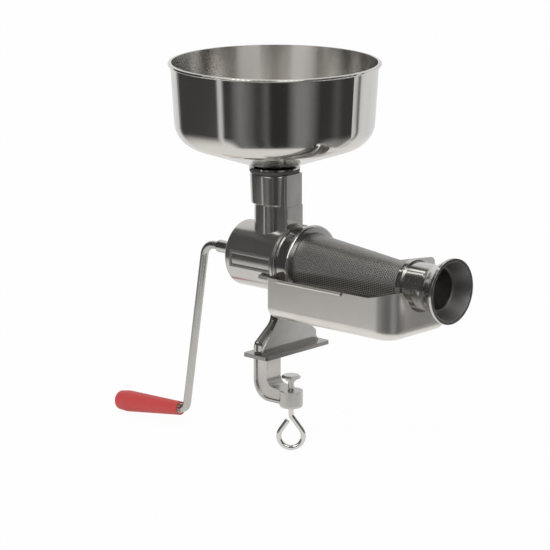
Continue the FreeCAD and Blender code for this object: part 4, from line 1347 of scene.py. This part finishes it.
@dataclass
class Studio:
    """Floor, lights, world, reflection tent and camera.

    Attributes:
        target: The point at the picture's centre.
        distance: Camera distance.
        azimuth: Camera angle from +X towards -Y, in degrees.
        elevation: Camera angle above level, in degrees.
        focal_pixels: Focal length over a picture of frame_pixels.
        frame_pixels: Picture width.
        sensor: Width of the camera's sensor, in millimetres.
        floor_height: Height of the floor.
        floor_white: How white the floor shows to the camera.
        soft_level: Strength of the world where it only lights.
        tent_radius: Radius of the reflection tent.
        tent_centre: Middle of the tent.
        tent_gap: How far the tent's bottom stays above the floor.
        box_level: How much brighter than white the soft boxes are.
        box_foot: Tilts over which a soft box starts, in degrees above level.
        box_head: Tilts over which it ends.
        roof_edge: Tilts over which the wall turns into the roof.
        table_near: Distances over which the white table ends in front.
        table_far: Distances over which it ends elsewhere.
        cloud_grey: Grey that clouds the wall.
        table_white: Colour of the table.
        lamps: What lights the unpolished pieces.
    """

    target: Point = (-0.0250, 0.0, 0.0864)
    distance: float = 3.906
    azimuth: float = 48.48
    elevation: float = 13.23
    focal_pixels: float = 3378.0
    frame_pixels: float = 550.0
    sensor: float = 36.0
    floor_height: float = -0.1225
    floor_white: float = 0.95
    soft_level: float = 0.8
    tent_radius: float = 1.6
    tent_centre: Point = (0.0, 0.0, 0.15)
    tent_gap: float = 0.001
    box_level: float = 2.0
    box_foot: Span = (14.0, 22.0)
    box_head: Span = (58.0, 70.0)
    roof_edge: Span = (58.0, 72.0)
    table_near: Span = (0.34, 0.39)
    table_far: Span = (0.36, 1.25)
    cloud_grey: Colour = (0.1, 0.098, 0.094)
    table_white: Colour = (0.90, 0.885, 0.865)
    lamps: tuple[Lamp, ...] = (
        Lamp("key", (1.2, -2.4, 2.4), 1.6, 26.0),
        Lamp("fill", (-2.4, -1.2, 1.4), 1.8, 12.0),
    )

    def build(self) -> None:
        """Make everything."""
        self.build_camera()
        self.build_floor()
        self.build_world()
        self.build_tent()
        for lamp in self.lamps:
            lamp.build()
        LOG.info("studio: camera, floor, world, tent and lights")

    def build_camera(self) -> None:
        """Aim the camera at the target."""
        turn = math.radians(self.azimuth)
        lift = math.radians(self.elevation)
        level = Vector((math.cos(turn), -math.sin(turn), 0.0))
        back = level * math.cos(lift) + Vector((0.0, 0.0, math.sin(lift)))
        data = bpy.data.cameras.new("camera")
        data.sensor_width = self.sensor
        data.lens = self.focal_pixels / self.frame_pixels * data.sensor_width
        data.clip_end = 50.0
        camera = bpy.data.objects.new("camera", data)
        bpy.context.scene.collection.objects.link(camera)
        camera.location = Vector(self.target) + back * self.distance
        camera.rotation_euler = back.to_track_quat("Z", "Y").to_euler()
        bpy.context.scene.camera = camera

    def build_floor(self) -> None:
        """A pale floor below the lowest piece, nearly white to the camera."""
        bpy.ops.mesh.primitive_plane_add(size=40.0, location=(0, 0, self.floor_height))
        floor = bpy.context.object
        floor.name = "studio_floor"
        sheet = NodeSheet("floor")
        seen = sheet.node("ShaderNodeLightPath", take="Is Camera Ray")
        matt = sheet.principled(Base_Color=(0.9, 0.9, 0.9), Roughness=0.9)
        white = sheet.node("ShaderNodeEmission", None, {"Color": (1.0, 1.0, 1.0)})
        inputs = {0: seen * self.floor_white, 1: matt, 2: white}
        floor.data.materials.append(
            sheet.wear(sheet.node("ShaderNodeMixShader", None, inputs))
        )
        sheet.material.cycles.emission_sampling = "NONE"

    def build_world(self) -> None:
        """White for the camera and in reflections, soft light elsewhere."""
        world = bpy.data.worlds.new("studio")
        bpy.context.scene.world = world
        world.use_nodes = True
        tree = world.node_tree
        background = tree.nodes["Background"]
        background.inputs[0].default_value = (1.0, 1.0, 1.0, 1.0)
        path = tree.nodes.new("ShaderNodeLightPath")
        direct = tree.nodes.new("ShaderNodeMath")
        direct.operation = "MAXIMUM"
        tree.links.new(path.outputs["Is Camera Ray"], direct.inputs[0])
        tree.links.new(path.outputs["Is Glossy Ray"], direct.inputs[1])
        level = tree.nodes.new("ShaderNodeMapRange")
        tree.links.new(direct.outputs[0], level.inputs[0])
        level.inputs[3].default_value = self.soft_level
        level.inputs[4].default_value = 1.0
        tree.links.new(level.outputs[0], background.inputs[1])

    def build_tent(self) -> None:
        """Cards round the object that only its polished metal mirrors."""
        bpy.ops.mesh.primitive_uv_sphere_add(
            segments=96, ring_count=48, radius=self.tent_radius,
            location=self.tent_centre,
        )
        tent = start_piece("studio_tent")
        bpy.ops.mesh.flip_normals()
        bpy.ops.mesh.bisect(
            plane_co=(0, 0, self.floor_height + self.tent_gap), plane_no=(0, 0, 1),
            use_fill=True, clear_inner=True,
        )
        bpy.ops.object.mode_set(mode="OBJECT")
        tent.data.materials.append(self.tent_material())
        tent.visible_camera = False
        tent.visible_diffuse = False
        tent.visible_shadow = False

    def tent_material(self) -> bpy.types.Material:
        """Dark walls with two soft boxes, a white table and a light roof.

        Returns:
            The glowing material.
        """
        sheet = NodeSheet("tent")
        x, y, z = sheet.axes(sheet.place())
        front = math.radians(self.azimuth)
        ahead = x * math.cos(front) - y * math.sin(front)
        right = x * math.sin(front) + y * math.cos(front)
        away = (ahead * ahead + right * right).root()
        turn = right.angle_to(ahead) / (2 * math.pi) + 0.5
        level = (z - self.tent_centre[2]).angle_to(away)
        tilt = level * (180.0 / math.pi)
        wall = self.round_ramp(sheet, turn, self.wall_stops())
        roof = self.round_ramp(sheet, turn, self.roof_stops())
        boxes = self.round_ramp(sheet, turn, self.box_stops())
        cloud = sheet.noise(sheet.place(), 1.6, 2.0)
        shade = sheet.blend(cloud * 0.35, wall, self.cloud_grey)
        grey = sheet.blend(tilt.ramp(*self.roof_edge), shade, roof)
        tall = tilt.ramp(*self.box_foot) * (1.0 - tilt.ramp(*self.box_head))
        lit = sheet.axes(boxes)[0] * tall
        grey = sheet.blend(lit, grey, (1.0, 1.0, 1.0))
        aside = sheet.axes(self.round_ramp(sheet, turn, self.table_stops()))[0]
        near = 1.0 - away.ramp(*self.table_near)
        wide = 1.0 - away.ramp(*self.table_far)
        table = near + (wide - near) * aside
        grey = sheet.blend(table, grey, self.table_white)
        inputs = {"Color": grey, "Strength": lit * self.box_level + 1.0}
        sheet.material.cycles.emission_sampling = "NONE"
        return sheet.wear(sheet.node("ShaderNodeEmission", None, inputs))

    @staticmethod
    def round_ramp(sheet: NodeSheet, turn: Channel, stops: list) -> Channel:
        """Look a grey up by the angle round the tent."""
        return sheet.node("ShaderNodeValToRGB", {"stops": stops}, {0: turn})

    @staticmethod
    def strips(spans: Sequence[tuple], soft: float = 2.0) -> list:
        """Ramp stops for level strips with soft sides.

        Args:
            spans: Each strip's start and end angle, in degrees, its grey, and
                where it differs the width of its soft sides.
            soft: Width of a soft side, in degrees.

        Returns:
            The stops, each (place, grey).
        """
        stops = []
        for start, end, grey, *own in spans:
            side = own[0] if own else soft
            stops.append(((start + side / 2 + 180.0) / 360.0, grey))
            stops.append(((end - side / 2 + 180.0) / 360.0, grey))
        return stops

    def wall_stops(self) -> list:
        """Greys round the wall, by angle to the right of the camera."""
        return self.strips(
            (
                (-180, -137, 0.95, 2), (-137, -132, 0.3, 2), (-132, -66, 0.05, 3),
                (-66, -60, 0.8, 2), (-60, -50, 0.03, 3), (-44, -34, 0.24, 8),
                (-24, -14, 0.05, 6), (-12, -8, 0.13, 3), (-6, 14, 0.02, 4),
                (21, 37, 0.27, 6), (48, 66, 0.03, 6), (70, 76, 0.09, 4),
                (80, 97, 0.03, 4), (98, 104, 0.85, 2), (105, 109, 0.12, 2),
                (110, 180, 0.95, 2),
            ),
        )

    def roof_stops(self) -> list:
        """Greys round the roof, by angle to the right of the camera."""
        return self.strips(
            (
                (-180, -120, 0.9), (-120, -60, 0.45), (-60, -20, 0.9),
                (-20, 15, 0.5), (15, 50, 0.95), (50, 110, 0.45), (110, 180, 0.9),
            ),
            12.0,
        )

    def box_stops(self) -> list:
        """Where the soft boxes stand, by angle to the right of the camera."""
        return self.strips(
            (
                (-180, -52, 0.0), (-52, -20, 1.0), (-20, 16, 0.0),
                (16, 47, 1.0), (47, 180, 0.0),
            ),
            4.0,
        )

    def table_stops(self) -> list:
        """Where the white table ends further out, by angle as on the wall."""
        return self.strips(
            ((-180, -54, 1.0), (-46, 52, 0.0), (60, 104, 0.3), (112, 180, 1.0)), 4.0
        )


def main() -> None:
    """Build the studio and dress every sub-assembly."""
    logging.basicConfig(level=logging.INFO, format="%(message)s")
    bpy.context.scene.view_settings.view_transform = "Standard"
    clear_selection()
    Studio().build()
    for part in (
        Casting(), Hopper(), Bearing(), Conveyor(), Strainer(),
        Outlet(), Tray(), Crank(), Grip(), Clamp(),
    ):
        part.build()
        LOG.info("%s is done", type(part).__name__)


if __name__ == "__main__":
    main()
